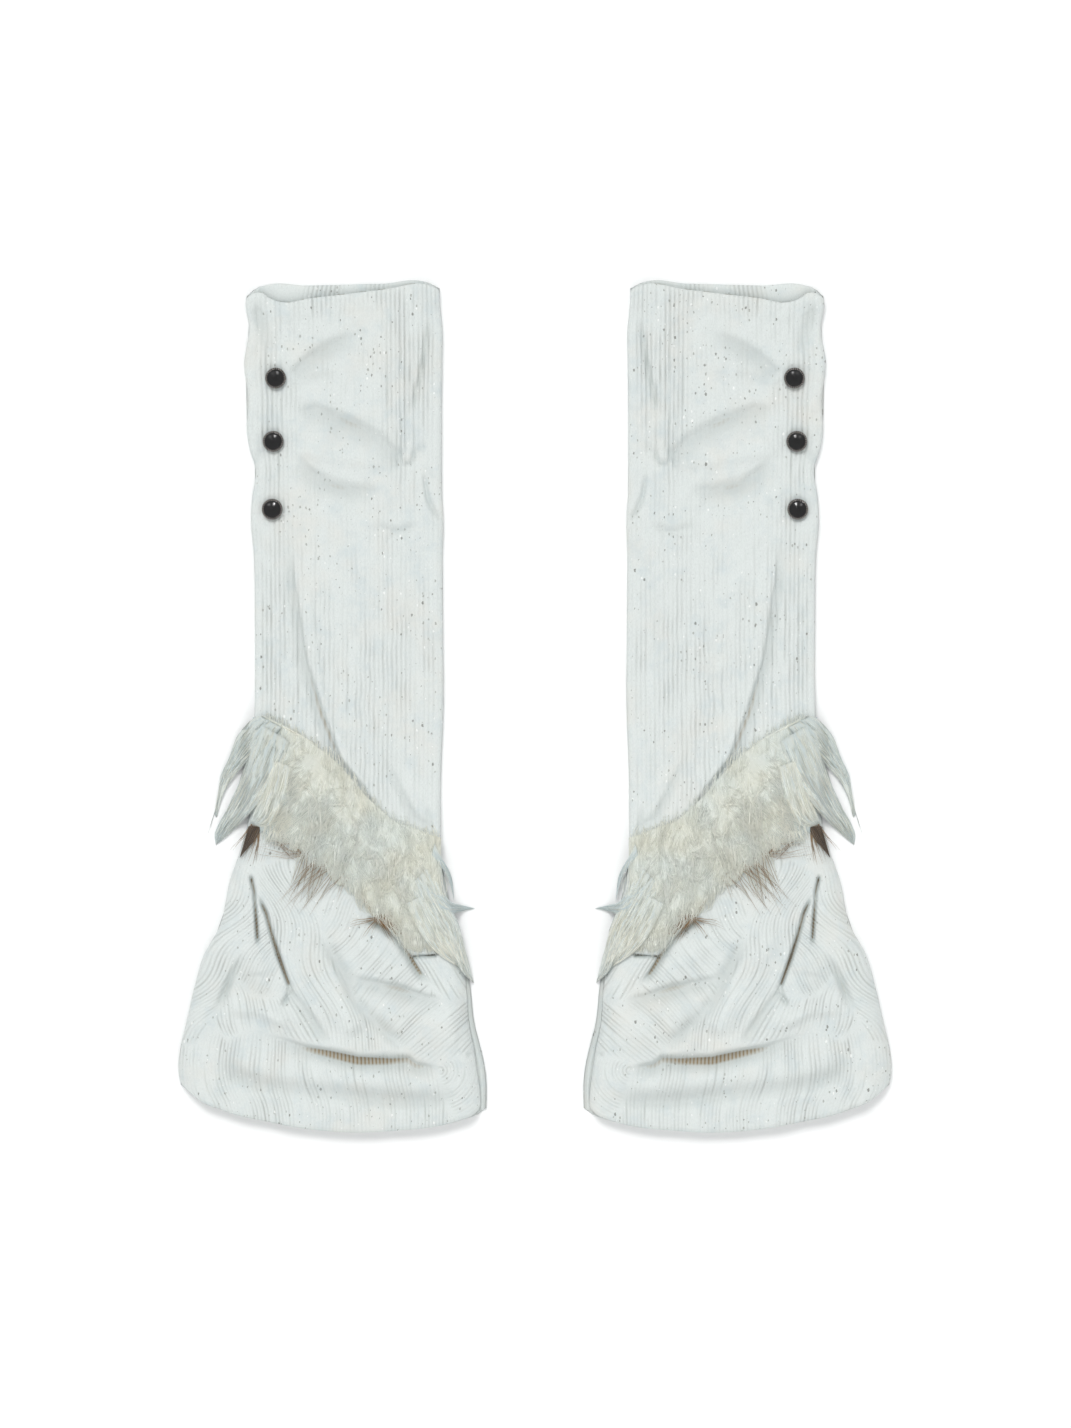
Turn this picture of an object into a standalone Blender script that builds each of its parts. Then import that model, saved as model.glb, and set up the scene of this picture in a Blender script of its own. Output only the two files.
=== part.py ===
"""A pair of flared corduroy leg warmers with slanting fur bands and gathering buttons.

Both lie flat on their backs, side by side, +Z up, with the rims towards +Y.
The origin is on the floor under the middle of the pair. Each leg warmer is the mirror image of the other,
so every piece is worked out once, in its own leg's measures, and then placed on the left or the right:
  across  outwards from the leg's own axis, towards its buttoned side
  along   up the leg from the middle of its length, towards the rim
A share of 0 is a piece's outer edge and 1 is its inner edge. Tables are in millimetres.
"""

from collections import namedtuple

import bmesh
import bpy
import numpy as np

MM = 0.001

# Driving sizes, in millimetres
LEG_AXIS = 132.8  # from the middle of the pair to each leg's axis
CLOTH = 2.0  # corduroy, pile and backing together
SEAM_GAP = 0.3
SEAM_EDGE = 0.23  # half the gap between tube and bell, measured up the leg, because their seam slants
SIDE_SEAM_HEIGHT = 2.6  # the side seam above what the back lies on
RIB_HEIGHT = 0.8
TUBE_RIBS = 42  # wide-wale corduroy at 3.2 mm, eight ribs to the inch
BELL_RIBS = 48
TUBE_EDGE_ROUND = 4.0
BELL_EDGE_ROUND = 15.0
BELL_ROUND_FULL = 90.0  # below the seam, where the bell's edge is fully rounded
LEAST_LOFT = 4.8  # the front's outer face is never nearer to the floor side of the back than this
TUBE_FOLD_REACH = 10.0  # a tube's inner face keeps under the lowest cloth this far to either side
BELL_FOLD_REACH = 5.0
BELL_LINE_UNDER_FUR = 43.0  # below the seam
FUR_CLEAR = 0.9  # the fur's backing over the cloth's folds
FUR_REACH = 7.0  # the backing bridges folds narrower than twice this
HALF_TUBE = 67.0

Section = namedtuple("Section", "along outer inner")
BellSection = namedtuple("BellSection", "along outer inner_front inner_back")
Fold = namedtuple("Fold", "path width height fade_start fade_end")
Lock = namedtuple("Lock", "root tip_across tip_along")

# Side edges of the tube. The outer one swings in and out where the buttons gather it
TUBE_OUTLINE = (
    Section(300.0, 69.0, -65.2),
    Section(286.0, 72.0, -65.6),
    Section(269.0, 69.6, -67.2),
    Section(244.0, 73.0, -67.2),
    Section(218.0, 70.2, -66.8),
    Section(193.0, 70.9, -66.8),
    Section(184.0, 69.4, -66.8),
    Section(168.0, 64.8, -66.8),
    Section(150.0, 67.2, -67.0),
    Section(133.0, 68.1, -68.0),
    Section(108.0, 66.2, -67.4),
    Section(57.0, 65.4, -67.6),
    Section(0.0, 65.4, -68.0),
    Section(-45.0, 66.0, -66.4),
    Section(-110.0, 68.0, -66.0),
)

# Side edges of the bell. The back shows past the front on the inner side
BELL_OUTLINE = (
    BellSection(-22.0, 65.6, -66.0, -66.0),
    BellSection(-70.0, 68.0, -66.0, -66.0),
    BellSection(-96.0, 74.0, -65.6, -65.6),
    BellSection(-122.0, 83.0, -68.0, -68.4),
    BellSection(-156.0, 91.0, -77.0, -78.4),
    BellSection(-173.0, 100.6, -81.0, -83.0),
    BellSection(-198.0, 108.2, -84.4, -87.2),
    BellSection(-224.0, 114.2, -86.4, -90.0),
    BellSection(-241.0, 118.2, -89.8, -94.4),
    BellSection(-256.0, 119.6, -92.0, -97.6),
    BellSection(-268.0, 117.6, -93.8, -98.6),
    BellSection(-280.0, 112.0, -94.6, -98.4),
    BellSection(-302.0, 110.0, -95.0, -98.0),
)

# How far up the leg the rims and the hem lie, against the share of the width from the outer edge
BACK_RIM = (
    (0.0, 291.0),
    (0.03, 296.4),
    (0.07, 298.6),
    (0.3, 298.7),
    (0.7, 300.0),
    (0.96, 299.8),
    (1.0, 296.6),
)
FRONT_RIM = (
    (0.0, 290.4),
    (0.06, 293.4),
    (0.11, 289.2),
    (0.18, 286.4),
    (0.32, 289.2),
    (0.52, 292.4),
    (0.71, 295.6),
    (0.95, 298.4),
    (1.0, 295.6),
)
HEM = (
    (0.0, -267.0),
    (0.03, -275.6),
    (0.106, -284.0),
    (0.267, -292.6),
    (0.4, -297.6),
    (0.53, -300.0),
    (0.7, -299.0),
    (0.92, -292.0),
    (0.98, -287.0),
    (1.0, -283.4),
)

# Upper edge of the fur band, against the place across the leg. The seam runs under the band
FUR_TOP = (
    (-68.0, -92.4),
    (-58.0, -89.4),
    (-45.0, -84.0),
    (-34.0, -80.4),
    (-22.7, -71.0),
    (-12.8, -61.6),
    (0.0, -46.4),
    (8.5, -37.4),
    (20.0, -28.4),
    (32.6, -19.6),
    (48.0, -10.6),
    (68.0, -6.6),
)
SEAM_BELOW_FUR_TOP = 16.0

# Height of the back over the floor, against the distance up the leg from the seam: it lies on the fur there
LIFT_ENDS_BELOW = -75.0
LIFT_FULL = 12.0
LIFT_ENDS_ABOVE = 45.0
FUR_UNDER_BACK = 4.8
BACK_LIFT = (
    (LIFT_ENDS_BELOW, 0.0),
    (-LIFT_FULL, FUR_UNDER_BACK),
    (LIFT_FULL, FUR_UNDER_BACK),
    (LIFT_ENDS_ABOVE, 0.0),
)

# Height of the front's outer face over what the back lies on, before its folds
TUBE_LOFT = ((-110.0, 7.0), (60.0, 7.0), (200.0, 7.6), (300.0, 7.6))
BELL_LOFT = (
    (0.0, 7.0),
    (0.15, 10.0),
    (0.35, 15.0),
    (0.55, 18.0),
    (0.75, 17.0),
    (0.9, 14.6),
    (1.0, 12.6),
)

# Folds of the tube: drag lines from the buttons, the standing fold by the inner side, the long lap below
TUBE_FOLDS = (
    Fold(((35.5, 237.0), (18.4, 250.3), (2.0, 259.0), (-17.0, 265.2)), 6.0, -2.4, 0.1, 0.4),
    Fold(((33.0, 228.0), (6.0, 237.0), (-22.0, 240.0)), 10.0, 1.7, 0.2, 0.4),
    Fold(
        ((40.0, 207.5), (26.0, 212.0), (13.5, 210.0), (-18.4, 191.5), (-33.3, 178.0)),
        6.5, -2.5, 0.2, 0.1,
    ),
    Fold(((37.0, 188.0), (-8.5, 173.0), (-33.0, 168.5)), 7.5, 1.8, 0.1, 0.3),
    Fold(((37.0, 176.0), (22.7, 164.5), (8.0, 156.0), (-26.0, 150.4)), 6.5, -2.5, 0.2, 0.3),
    Fold(((-31.0, 292.0), (-35.5, 232.6), (-38.3, 178.0)), 6.5, 2.2, 0.15, 0.04),
    Fold(((-59.6, 280.0), (-54.6, 242.5), (-45.4, 215.0), (-42.8, 190.0)), 4.0, -2.2, 0.2, 0.2),
    Fold(((-2.8, 131.2), (-42.6, 126.2), (-64.0, 130.0)), 5.0, -1.8, 0.4, 0.2),
    Fold(((44.0, 124.0), (37.6, 73.8), (27.0, 18.4), (17.7, -10.0), (-6.0, -51.0)), 5.5, -2.0, 0.3, 0.0),
    Fold(((-43.3, 94.3), (-46.8, 12.8)), 5.0, -1.2, 0.3, 0.3),
)

# Folds of the bell: pleats by the outer side, slanting rolls, the deep lap over the hem, the hem's crease
BELL_FOLDS = (
    Fold(((69.5, -104.0), (66.0, -140.4), (63.8, -170.0)), 4.5, -4.0, 0.1, 0.2),
    Fold(((64.6, -122.0), (49.6, -174.5), (42.0, -195.0), (44.7, -209.0)), 5.0, -5.5, 0.2, 0.15),
    Fold(((39.0, -200.0), (26.2, -217.0), (10.6, -237.0)), 5.0, -2.0, 0.1, 0.2),
    Fold(((76.6, -168.8), (84.4, -190.0), (100.0, -228.0)), 5.5, -3.6, 0.25, 0.4),
    Fold(((73.0, -150.0), (75.2, -187.2), (68.8, -201.4), (51.0, -204.2)), 5.5, -2.4, 0.3, 0.3),
    Fold(((62.0, -166.0), (60.0, -190.0)), 10.0, 2.6, 0.2, 0.2),
    Fold(((65.2, -217.0), (32.6, -231.2), (9.2, -238.3)), 7.0, 3.0, 0.25, 0.2),
    Fold(
        ((61.0, -239.7), (15.6, -242.5), (-6.4, -247.5), (-42.6, -250.4), (-67.4, -256.0)),
        6.0, -5.0, 0.3, 0.2,
    ),
    Fold(((82.3, -251.0), (12.8, -261.0), (-37.0, -265.2), (-73.8, -266.7)), 6.5, 2.4, 0.15, 0.15),
    Fold(
        ((88.7, -243.3), (84.4, -257.4), (32.6, -270.2), (-14.2, -275.9), (-53.2, -279.4), (-81.6, -271.6)),
        5.0, -2.8, 0.1, 0.1,
    ),
    Fold(((39.0, -145.4), (17.0, -195.0), (2.0, -217.7), (-8.5, -232.6)), 10.0, 3.6, 0.2, 0.1),
    Fold(
        ((14.2, -162.4), (4.3, -180.8), (0.0, -200.0), (-23.4, -229.0), (-40.4, -241.8)),
        6.5, -3.4, 0.2, 0.2,
    ),
    Fold(((4.3, -182.3), (-29.8, -196.4), (-75.2, -209.2)), 6.5, -3.2, 0.2, 0.2),
    Fold(((-19.0, -148.2), (-29.8, -156.0), (-48.2, -182.3), (-58.2, -196.4)), 5.0, -4.0, 0.1, 0.2),
    Fold(((2.0, -157.4), (-47.5, -193.0)), 8.5, 2.8, 0.2, 0.2),
    Fold(((-30.0, -215.0), (-82.0, -236.0)), 13.0, 2.4, 0.2, 0.1),
)

# Long locks of the fur, from the outer side to the inner one: root across the leg, and where the tip lies
FRONT_LOCKS = (
    Lock(67.4, 99.3, -88.0),
    Lock(65.0, 94.6, -97.4),
    Lock(60.0, 79.0, -90.0),
    Lock(45.0, 60.0, -94.0),
    Lock(27.0, 39.7, -99.0),
    Lock(10.6, 22.7, -112.0),
    Lock(0.0, 2.8, -123.0),
    Lock(-15.6, -12.8, -140.0),
    Lock(-31.2, -30.4, -157.4),
    Lock(-45.4, -51.0, -171.6),
    Lock(-59.6, -72.0, -178.0),
    Lock(-65.6, -89.0, -195.6),
)
BACK_LOCKS = (
    Lock(61.0, 62.0, -70.0),
    Lock(40.0, 44.0, -76.0),
    Lock(0.0, 2.0, -108.0),
    Lock(-34.0, -34.0, -140.0),
    Lock(-61.0, -64.0, -152.0),
)
FRONT_LOCK_COUNT = 17
BACK_LOCK_COUNT = 9
GAP_LENGTH = 0.8  # length of the pile between two locks, against the locks' own
GAP_PILE = 0.72
LOCK_ROWS = (0.0, 0.12, 0.42, 0.76, 1.0)
LOCK_PILE = (2.2, 8.0, 9.0, 5.5, 1.2)  # thickness of the pile down a lock
BACK_ROOT = 9.0  # where the back's pile starts, above the seam
BACK_PILE_CLEAR = 0.6

# Button places on the front, across and along the leg, and the dimple that each sits in
BUTTON_PLACES = ((50.4, 232.6), (52.1, 187.9), (52.8, 140.0))
BUTTON_DIMPLE = 9.0
BUTTON_DIMPLE_DEPTH = 1.2
BUTTON_DIAMETER = 15.0
BUTTON_STEPS = 12

# A button's turned outline: share of its radius, and height over its seat
BUTTON_PROFILE = (
    (0.0, 1.9),
    (0.5, 1.9),
    (0.68, 3.0),
    (0.82, 3.6),
    (0.95, 3.0),
    (1.0, 1.8),
    (0.85, 0.5),
    (0.6, 0.0),
    (0.0, 0.0),
)


def clear_scene():
    for obj in list(bpy.data.objects):
        bpy.data.objects.remove(obj, do_unlink=True)


def smooth(share):
    share = np.clip(share, 0.0, 1.0)
    return share * share * (3.0 - 2.0 * share)


def through(where, table, column=1):
    """Values on a smooth curve through a table's rows, by their first column, and flat past its ends."""
    rows = np.array(sorted([tuple(row) for row in table]), float)
    knots, values = rows[:, 0], rows[:, column]
    slopes = np.gradient(values, knots)
    where = np.clip(where, knots[0], knots[-1])
    cell = np.clip(np.searchsorted(knots, where) - 1, 0, len(knots) - 2)
    span = knots[cell + 1] - knots[cell]
    share = (where - knots[cell]) / span
    back = 1.0 - share
    return (
        (1.0 + 2.0 * share) * back**2 * values[cell]
        + share * back**2 * span * slopes[cell]
        + share**2 * (3.0 - 2.0 * share) * values[cell + 1]
        - share**2 * back * span * slopes[cell + 1]
    )


def straight(where, table):
    rows = np.array(sorted(table), float)
    return np.interp(where, rows[:, 0], rows[:, 1])


def seam(across):
    return through(across, FUR_TOP) - SEAM_BELOW_FUR_TOP


def lift(across, along):
    return straight(along - seam(across), BACK_LIFT)


def fold_height(across, along, fold):
    """Height that one fold adds: a soft ridge or trough along its path, fading out towards its ends."""
    path = np.array(fold.path, float)
    steps = np.diff(path, axis=0)
    lengths = np.hypot(steps[:, 0], steps[:, 1])
    starts = np.concatenate([[0.0], np.cumsum(lengths)])
    nearest = np.full(np.shape(across), np.inf)
    place_on_path = np.zeros(np.shape(across))
    for corner, step, length, start in zip(path[:-1], steps, lengths, starts):
        share = ((across - corner[0]) * step[0] + (along - corner[1]) * step[1]) / length**2
        share = np.clip(share, 0.0, 1.0)
        distance = np.hypot(across - corner[0] - share * step[0], along - corner[1] - share * step[1])
        closer = distance < nearest
        nearest = np.where(closer, distance, nearest)
        place_on_path = np.where(closer, (start + share * length) / starts[-1], place_on_path)
    fade = np.ones(np.shape(across))
    if fold.fade_start:
        fade = fade * smooth(place_on_path / fold.fade_start)
    if fold.fade_end:
        fade = fade * smooth((1.0 - place_on_path) / fold.fade_end)
    return fold.height * fade * np.exp(-((nearest / fold.width) ** 2))


def folds_low(across, along, folds, reach):
    """Height of all the folds together, or the lowest that it gets within a reach to either side."""
    aside = np.linspace(-reach, reach, 7) if reach else [0.0]
    sums = [sum(fold_height(across + step, along, fold) for fold in folds) for step in aside]
    return np.min(sums, axis=0)


def edge_rise(inside, radius):
    """Share of the full height that a rounded side edge has, at a distance inside it."""
    share = np.clip(inside / radius, 0.0, 1.0)
    return np.sqrt(1.0 - (1.0 - share) ** 2)


def tube_sides(along):
    return through(along, TUBE_OUTLINE, 1), through(along, TUBE_OUTLINE, 2)


def bell_sides(along, back=False):
    return through(along, BELL_OUTLINE, 1), through(along, BELL_OUTLINE, 3 if back else 2)


def hem_at(across, along):
    outer, inner = bell_sides(along)
    return through((outer - across) / (outer - inner), HEM)


def tube_loft(across, along, reach=0.0):
    loft = through(along, TUBE_LOFT) + folds_low(across, along, TUBE_FOLDS, reach)
    for button_across, button_along in BUTTON_PLACES:
        distance = np.hypot(across - button_across, along - button_along)
        loft = loft - BUTTON_DIMPLE_DEPTH * np.exp(-((distance / BUTTON_DIMPLE) ** 2))
    return np.maximum(loft, LEAST_LOFT)


def bell_loft(across, along, reach=0.0):
    top = seam(across)
    share = (top - along) / (top - hem_at(across, along))
    return np.maximum(through(share, BELL_LOFT) + folds_low(across, along, BELL_FOLDS, reach), LEAST_LOFT)


def bell_rounding(across, along):
    share = smooth((seam(across) - along) / BELL_ROUND_FULL)
    return TUBE_EDGE_ROUND + (BELL_EDGE_ROUND - TUBE_EDGE_ROUND) * share


def inside_edges(across, sides, wall):
    return np.minimum(sides[0] - wall - across, across - sides[1] - wall)


def front_height(across, along, sides, loft, radius, wall=0.0):
    """Height of a front wall's outer face or, a cloth's thickness inside it, of its inner face."""
    foot = lift(across, along) + SIDE_SEAM_HEIGHT + SEAM_GAP / 2
    top = lift(across, along) + loft - wall
    return foot + (top - foot) * edge_rise(inside_edges(across, sides, wall), radius - 0.5 * wall)


def back_height(across, along, sides, wall=0.0):
    """Height of a back wall's underside or, a cloth's thickness inside it, of its upper face."""
    radius = SIDE_SEAM_HEIGHT - SEAM_GAP / 2 - wall
    return lift(across, along) + wall + radius * (1.0 - edge_rise(inside_edges(across, sides, wall), radius))


def spread(shares, sides, wall):
    """Places across a piece for shares of its width. Its inner face lies a wall inside its edges."""
    outer, inner = sides[0] - wall, sides[1] + wall
    return outer + (inner - outer) * shares


def ribs(shares):
    """A crest on every other column, and none on the side edges."""
    height = np.where(np.arange(shares.size) % 2, 0.5, -0.5) * RIB_HEIGHT
    height[[0, -1]] = 0.0
    return height


def grid(across, along, height):
    return np.stack(np.broadcast_arrays(across, along, height), axis=-1).astype(float)


def closed_wall(outer, inner):
    """A closed mesh between two grids of points. The outer one has whole numbers of cells for the inner's."""
    mesh = bmesh.new()
    outer_verts = [[mesh.verts.new(point) for point in row] for row in outer * MM]
    inner_verts = [[mesh.verts.new(point) for point in row] for row in inner * MM]
    for sheet in (outer_verts, inner_verts):
        for upper, lower in zip(sheet[:-1], sheet[1:]):
            for a, b, c, d in zip(upper[:-1], upper[1:], lower[1:], lower[:-1]):
                mesh.faces.new((a, b, c))
                mesh.faces.new((a, c, d))
    rims = (
        (outer_verts[0], inner_verts[0]),
        (outer_verts[-1], inner_verts[-1]),
        ([row[0] for row in outer_verts], [row[0] for row in inner_verts]),
        ([row[-1] for row in outer_verts], [row[-1] for row in inner_verts]),
    )
    for fine, coarse in rims:
        ratio = (len(fine) - 1) // (len(coarse) - 1)
        turn = (ratio + 1) // 2
        for cell in range(len(coarse) - 1):
            for step in range(ratio):
                near = coarse[cell] if step < turn else coarse[cell + 1]
                mesh.faces.new((fine[cell * ratio + step], fine[cell * ratio + step + 1], near))
            mesh.faces.new((coarse[cell], coarse[cell + 1], fine[cell * ratio + turn]))
    return mesh


def place(name, mesh, side, material, collection):
    """Puts a piece on its leg: side is -1 on the left of the pair and 1 on the right."""
    for vert in mesh.verts:
        vert.co.x = side * (LEG_AXIS * MM + vert.co.x)
    bmesh.ops.recalc_face_normals(mesh, faces=mesh.faces)
    if mesh.calc_volume(signed=True) < 0:
        bmesh.ops.reverse_faces(mesh, faces=mesh.faces)
    data = bpy.data.meshes.new(name)
    mesh.to_mesh(data)
    mesh.free()
    data.materials.append(material)
    data.shade_smooth()
    obj = bpy.data.objects.new(name, data)
    collection.objects.link(obj)
    return obj


def tube_lines(shares, rim, near_seam, free):
    """Lines down a tube piece: free ones below its rim, then ones at set distances above the seam."""
    low = seam(HALF_TUBE * (1.0 - 2.0 * shares))
    start = low + near_seam[0]
    lines = [through(shares, rim) * (1.0 - share) + start * share for share in free]
    return np.concatenate(lines + [low + distance for distance in near_seam], axis=0)


def bell_lines(shares, near_seam, free):
    """Lines down a bell piece: ones at set distances below the seam, then free ones down to the hem."""
    low = seam(HALF_TUBE * (1.0 - 2.0 * shares))
    end = low - near_seam[-1]
    lines = [end * (1.0 - share) + through(shares, HEM) * share for share in free]
    return np.concatenate([low - distance for distance in near_seam] + lines, axis=0)


# The tube: ribbed outside in front, plain inside and behind


def tube_front():
    ribbed = np.linspace(0.0, 1.0, 2 * TUBE_RIBS + 1)[None, :]
    near_seam = (LIFT_ENDS_ABOVE, LIFT_FULL, SEAM_EDGE)
    free = (0.0, 0.05, 0.1, 0.155, 0.21, 0.265, 0.32, 0.375, 0.43, 0.485, 0.54, 0.6, 0.72, 0.86)
    faces = []
    for shares, wall, reach in ((ribbed, 0.0, 0.0), (ribbed[:, ::6], CLOTH, TUBE_FOLD_REACH)):
        along = tube_lines(shares, FRONT_RIM, near_seam, free)
        sides = tube_sides(along)
        across = spread(shares, sides, wall)
        height = front_height(across, along, sides, tube_loft(across, along, reach), TUBE_EDGE_ROUND, wall)
        faces.append(grid(across, along, height if wall else height + ribs(shares)))
    return closed_wall(*faces)


def tube_back():
    shares = np.array([0.0, 0.008, 0.03, 0.25, 0.5, 0.75, 0.97, 0.992, 1.0])[None, :]
    faces = []
    for wall in (0.0, CLOTH):
        along = tube_lines(shares, BACK_RIM, (LIFT_ENDS_ABOVE, LIFT_FULL, SEAM_EDGE), (0.0, 0.35, 0.7))
        sides = tube_sides(along)
        across = spread(shares, sides, wall)
        faces.append(grid(across, along, back_height(across, along, sides, wall)))
    return closed_wall(*faces)


# The bell: a full, pleated front over a plain back


def bell_front():
    ribbed = np.linspace(0.0, 1.0, 2 * BELL_RIBS + 1)[None, :]
    near_seam = (SEAM_EDGE, LIFT_FULL, BELL_LINE_UNDER_FUR, -LIFT_ENDS_BELOW)
    free = (0.16, 0.32, 0.45, 0.56, 0.63, 0.7, 0.77, 0.83, 0.89, 1.0)
    faces = []
    for shares, wall, reach in ((ribbed, 0.0, 0.0), (ribbed[:, ::3], CLOTH, BELL_FOLD_REACH)):
        along = bell_lines(shares, near_seam, free)
        sides = bell_sides(along)
        across = spread(shares, sides, wall)
        loft = bell_loft(across, along, reach)
        height = front_height(across, along, sides, loft, bell_rounding(across, along), wall)
        faces.append(grid(across, along, height if wall else height + ribs(shares)))
    return closed_wall(*faces)


def bell_back():
    shares = np.array([0.0, 0.005, 0.02, 0.25, 0.5, 0.75, 0.98, 0.995, 1.0])[None, :]
    faces = []
    for wall in (0.0, CLOTH):
        along = bell_lines(shares, (SEAM_EDGE, LIFT_FULL, -LIFT_ENDS_BELOW), (0.5, 0.8, 1.0))
        sides = bell_sides(along, back=True)
        across = spread(shares, sides, wall)
        faces.append(grid(across, along, back_height(across, along, sides, wall)))
    return closed_wall(*faces)


# The fur: a sewn strip with long locks that fall towards the hem


def cloth_top(across, along):
    """Height of the front's outer face under a point, and none past the cloth's edges."""
    tube, bell = tube_sides(along), bell_sides(along)
    on_tube = front_height(across, along, tube, tube_loft(across, along), TUBE_EDGE_ROUND)
    on_bell = front_height(across, along, bell, bell_loft(across, along), bell_rounding(across, along))
    on_tube = np.where(inside_edges(across, tube, 0.0) < 0.0, 0.0, on_tube)
    on_bell = np.where(inside_edges(across, bell, 0.0) < 0.0, 0.0, on_bell)
    return np.where(along > seam(across), on_tube, on_bell)


def clear_of_cloth(across, along, reach):
    """The highest cloth within a reach of each point."""
    found = cloth_top(across, along)
    for turn in np.linspace(0.0, 2.0 * np.pi, 12, endpoint=False):
        for distance in (0.5 * reach, reach):
            aside, ahead = distance * np.cos(turn), distance * np.sin(turn)
            found = np.maximum(found, cloth_top(across + aside, along + ahead))
    return found


def lock_lines(locks, count):
    """Root and tip of each line down the pile, a lock's crest and the gap between two locks by turns."""
    table = np.array(locks, float)
    knots = np.linspace(0.0, 1.0, len(table))
    lines = np.linspace(0.0, 1.0, 2 * count + 1)
    root, tip_across, tip_along = (through(lines, list(zip(knots, column))) for column in table.T)
    crest = np.arange(lines.size) % 2 == 0
    length = np.where(crest, 1.0, GAP_LENGTH)
    root_along = through(root, FUR_TOP)
    return root, root + (tip_across - root) * length, root_along + (tip_along - root_along) * length, crest


def fur_front():
    root, tip_across, tip_along, crest = lock_lines(FRONT_LOCKS, FRONT_LOCK_COUNT)
    rows = np.array(LOCK_ROWS)[:, None]
    across = root * (1.0 - rows) + tip_across * rows
    along = through(root, FUR_TOP) * (1.0 - rows) + tip_along * rows
    under = clear_of_cloth(across, along, FUR_REACH) + FUR_CLEAR
    pile = np.array(LOCK_PILE)[:, None] * np.where(crest, 1.0, GAP_PILE)
    return closed_wall(grid(across, along, under + pile), grid(across, along, under))


def fur_back():
    root, tip_across, tip_along, crest = lock_lines(BACK_LOCKS, BACK_LOCK_COUNT)
    across = np.stack([root, root, tip_across])
    along = np.stack([seam(root) + BACK_ROOT, seam(root) - LIFT_FULL, tip_along])
    height = lift(across, along) - BACK_PILE_CLEAR
    return closed_wall(grid(across, along, height), grid(across, along, 0.0))


# Buttons: a turned disc with a raised rim and a dished middle


def button(number):
    across, along = BUTTON_PLACES[number]
    radius = 0.5 * BUTTON_DIAMETER
    reach = np.linspace(-radius, radius, 9)
    over, up = np.meshgrid(reach, reach)
    under = np.hypot(over, up) <= radius + SEAM_GAP
    here, there = across + over[under], along + up[under]
    cloth = front_height(here, there, tube_sides(there), tube_loft(here, there), TUBE_EDGE_ROUND)
    seat = cloth.max() + 0.5 * RIB_HEIGHT + SEAM_GAP
    mesh = bmesh.new()
    verts = [mesh.verts.new((far * radius * MM, 0.0, (seat + high) * MM)) for far, high in BUTTON_PROFILE]
    edges = [mesh.edges.new(pair) for pair in zip(verts[:-1], verts[1:])]
    turned = {"cent": (0, 0, 0), "axis": (0, 0, 1), "angle": 2 * np.pi, "steps": BUTTON_STEPS}
    bmesh.ops.spin(mesh, geom=verts + edges, **turned)
    bmesh.ops.remove_doubles(mesh, verts=mesh.verts, dist=1e-6)
    bmesh.ops.translate(mesh, verts=mesh.verts, vec=(across * MM, along * MM, 0.0))
    return mesh


def finish(name, colour, roughness, metallic=0.0):
    material = bpy.data.materials.new(name)
    material.use_nodes = True
    shader = material.node_tree.nodes["Principled BSDF"]
    shader.inputs["Base Color"].default_value = (*colour, 1.0)
    shader.inputs["Roughness"].default_value = roughness
    shader.inputs["Metallic"].default_value = metallic
    return material


def main():
    clear_scene()
    collection = bpy.data.collections.new("leg_warmers")
    bpy.context.scene.collection.children.link(collection)
    corduroy = finish("ecru_corduroy", (0.80, 0.83, 0.83), 0.9)
    fur = finish("cream_fur", (0.76, 0.76, 0.68), 0.8)
    plastic = finish("black_button", (0.02, 0.02, 0.02), 0.25)
    for word, side in (("left", -1), ("right", 1)):
        place(f"{word}_tube_front", tube_front(), side, corduroy, collection)
        place(f"{word}_tube_back", tube_back(), side, corduroy, collection)
        place(f"{word}_bell_front", bell_front(), side, corduroy, collection)
        place(f"{word}_bell_back", bell_back(), side, corduroy, collection)
        place(f"{word}_fur_front", fur_front(), side, fur, collection)
        place(f"{word}_fur_back", fur_back(), side, fur, collection)
        for number in range(len(BUTTON_PLACES)):
            place(f"{word}_button_{number + 1}", button(number), side, plastic, collection)


main()
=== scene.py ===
"""A pair of flared corduroy leg warmers, laid flat: the looks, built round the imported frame.

Each leg warmer is the other's mirror image, so its cloth and fur are worked out once, in its own leg's
measures and in millimetres, and placed twice:
  across  outwards from the leg's axis, towards its buttoned side
  along   up the leg from the middle of its length, towards the rim
A share of 0 is a piece's outer edge and 1 is its inner edge.
"""

import math
from collections import namedtuple

import bmesh
import bpy
import numpy as np
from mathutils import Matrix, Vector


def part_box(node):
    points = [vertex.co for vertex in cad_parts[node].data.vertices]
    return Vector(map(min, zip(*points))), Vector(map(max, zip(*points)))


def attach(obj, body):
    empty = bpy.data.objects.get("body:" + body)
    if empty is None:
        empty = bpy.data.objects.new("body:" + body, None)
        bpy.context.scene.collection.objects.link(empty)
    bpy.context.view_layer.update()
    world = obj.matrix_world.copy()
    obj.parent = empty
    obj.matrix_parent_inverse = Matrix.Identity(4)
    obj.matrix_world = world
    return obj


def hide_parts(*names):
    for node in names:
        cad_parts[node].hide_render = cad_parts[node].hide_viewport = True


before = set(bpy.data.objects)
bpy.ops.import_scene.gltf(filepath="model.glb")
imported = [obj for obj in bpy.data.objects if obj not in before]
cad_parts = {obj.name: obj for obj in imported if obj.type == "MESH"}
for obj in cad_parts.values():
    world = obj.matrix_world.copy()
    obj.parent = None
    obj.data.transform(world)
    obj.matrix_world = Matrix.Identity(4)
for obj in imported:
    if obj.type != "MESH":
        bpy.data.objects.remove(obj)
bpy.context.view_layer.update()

MM = 0.001
SIDES = (("left", -1), ("right", 1))


# Backs of the tubes
# The back of each tube is one length of corduroy that lies on the floor and, lower down, on the fur.
# Its top edge is turned in, so the ribs show on the inside of the rim.

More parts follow.
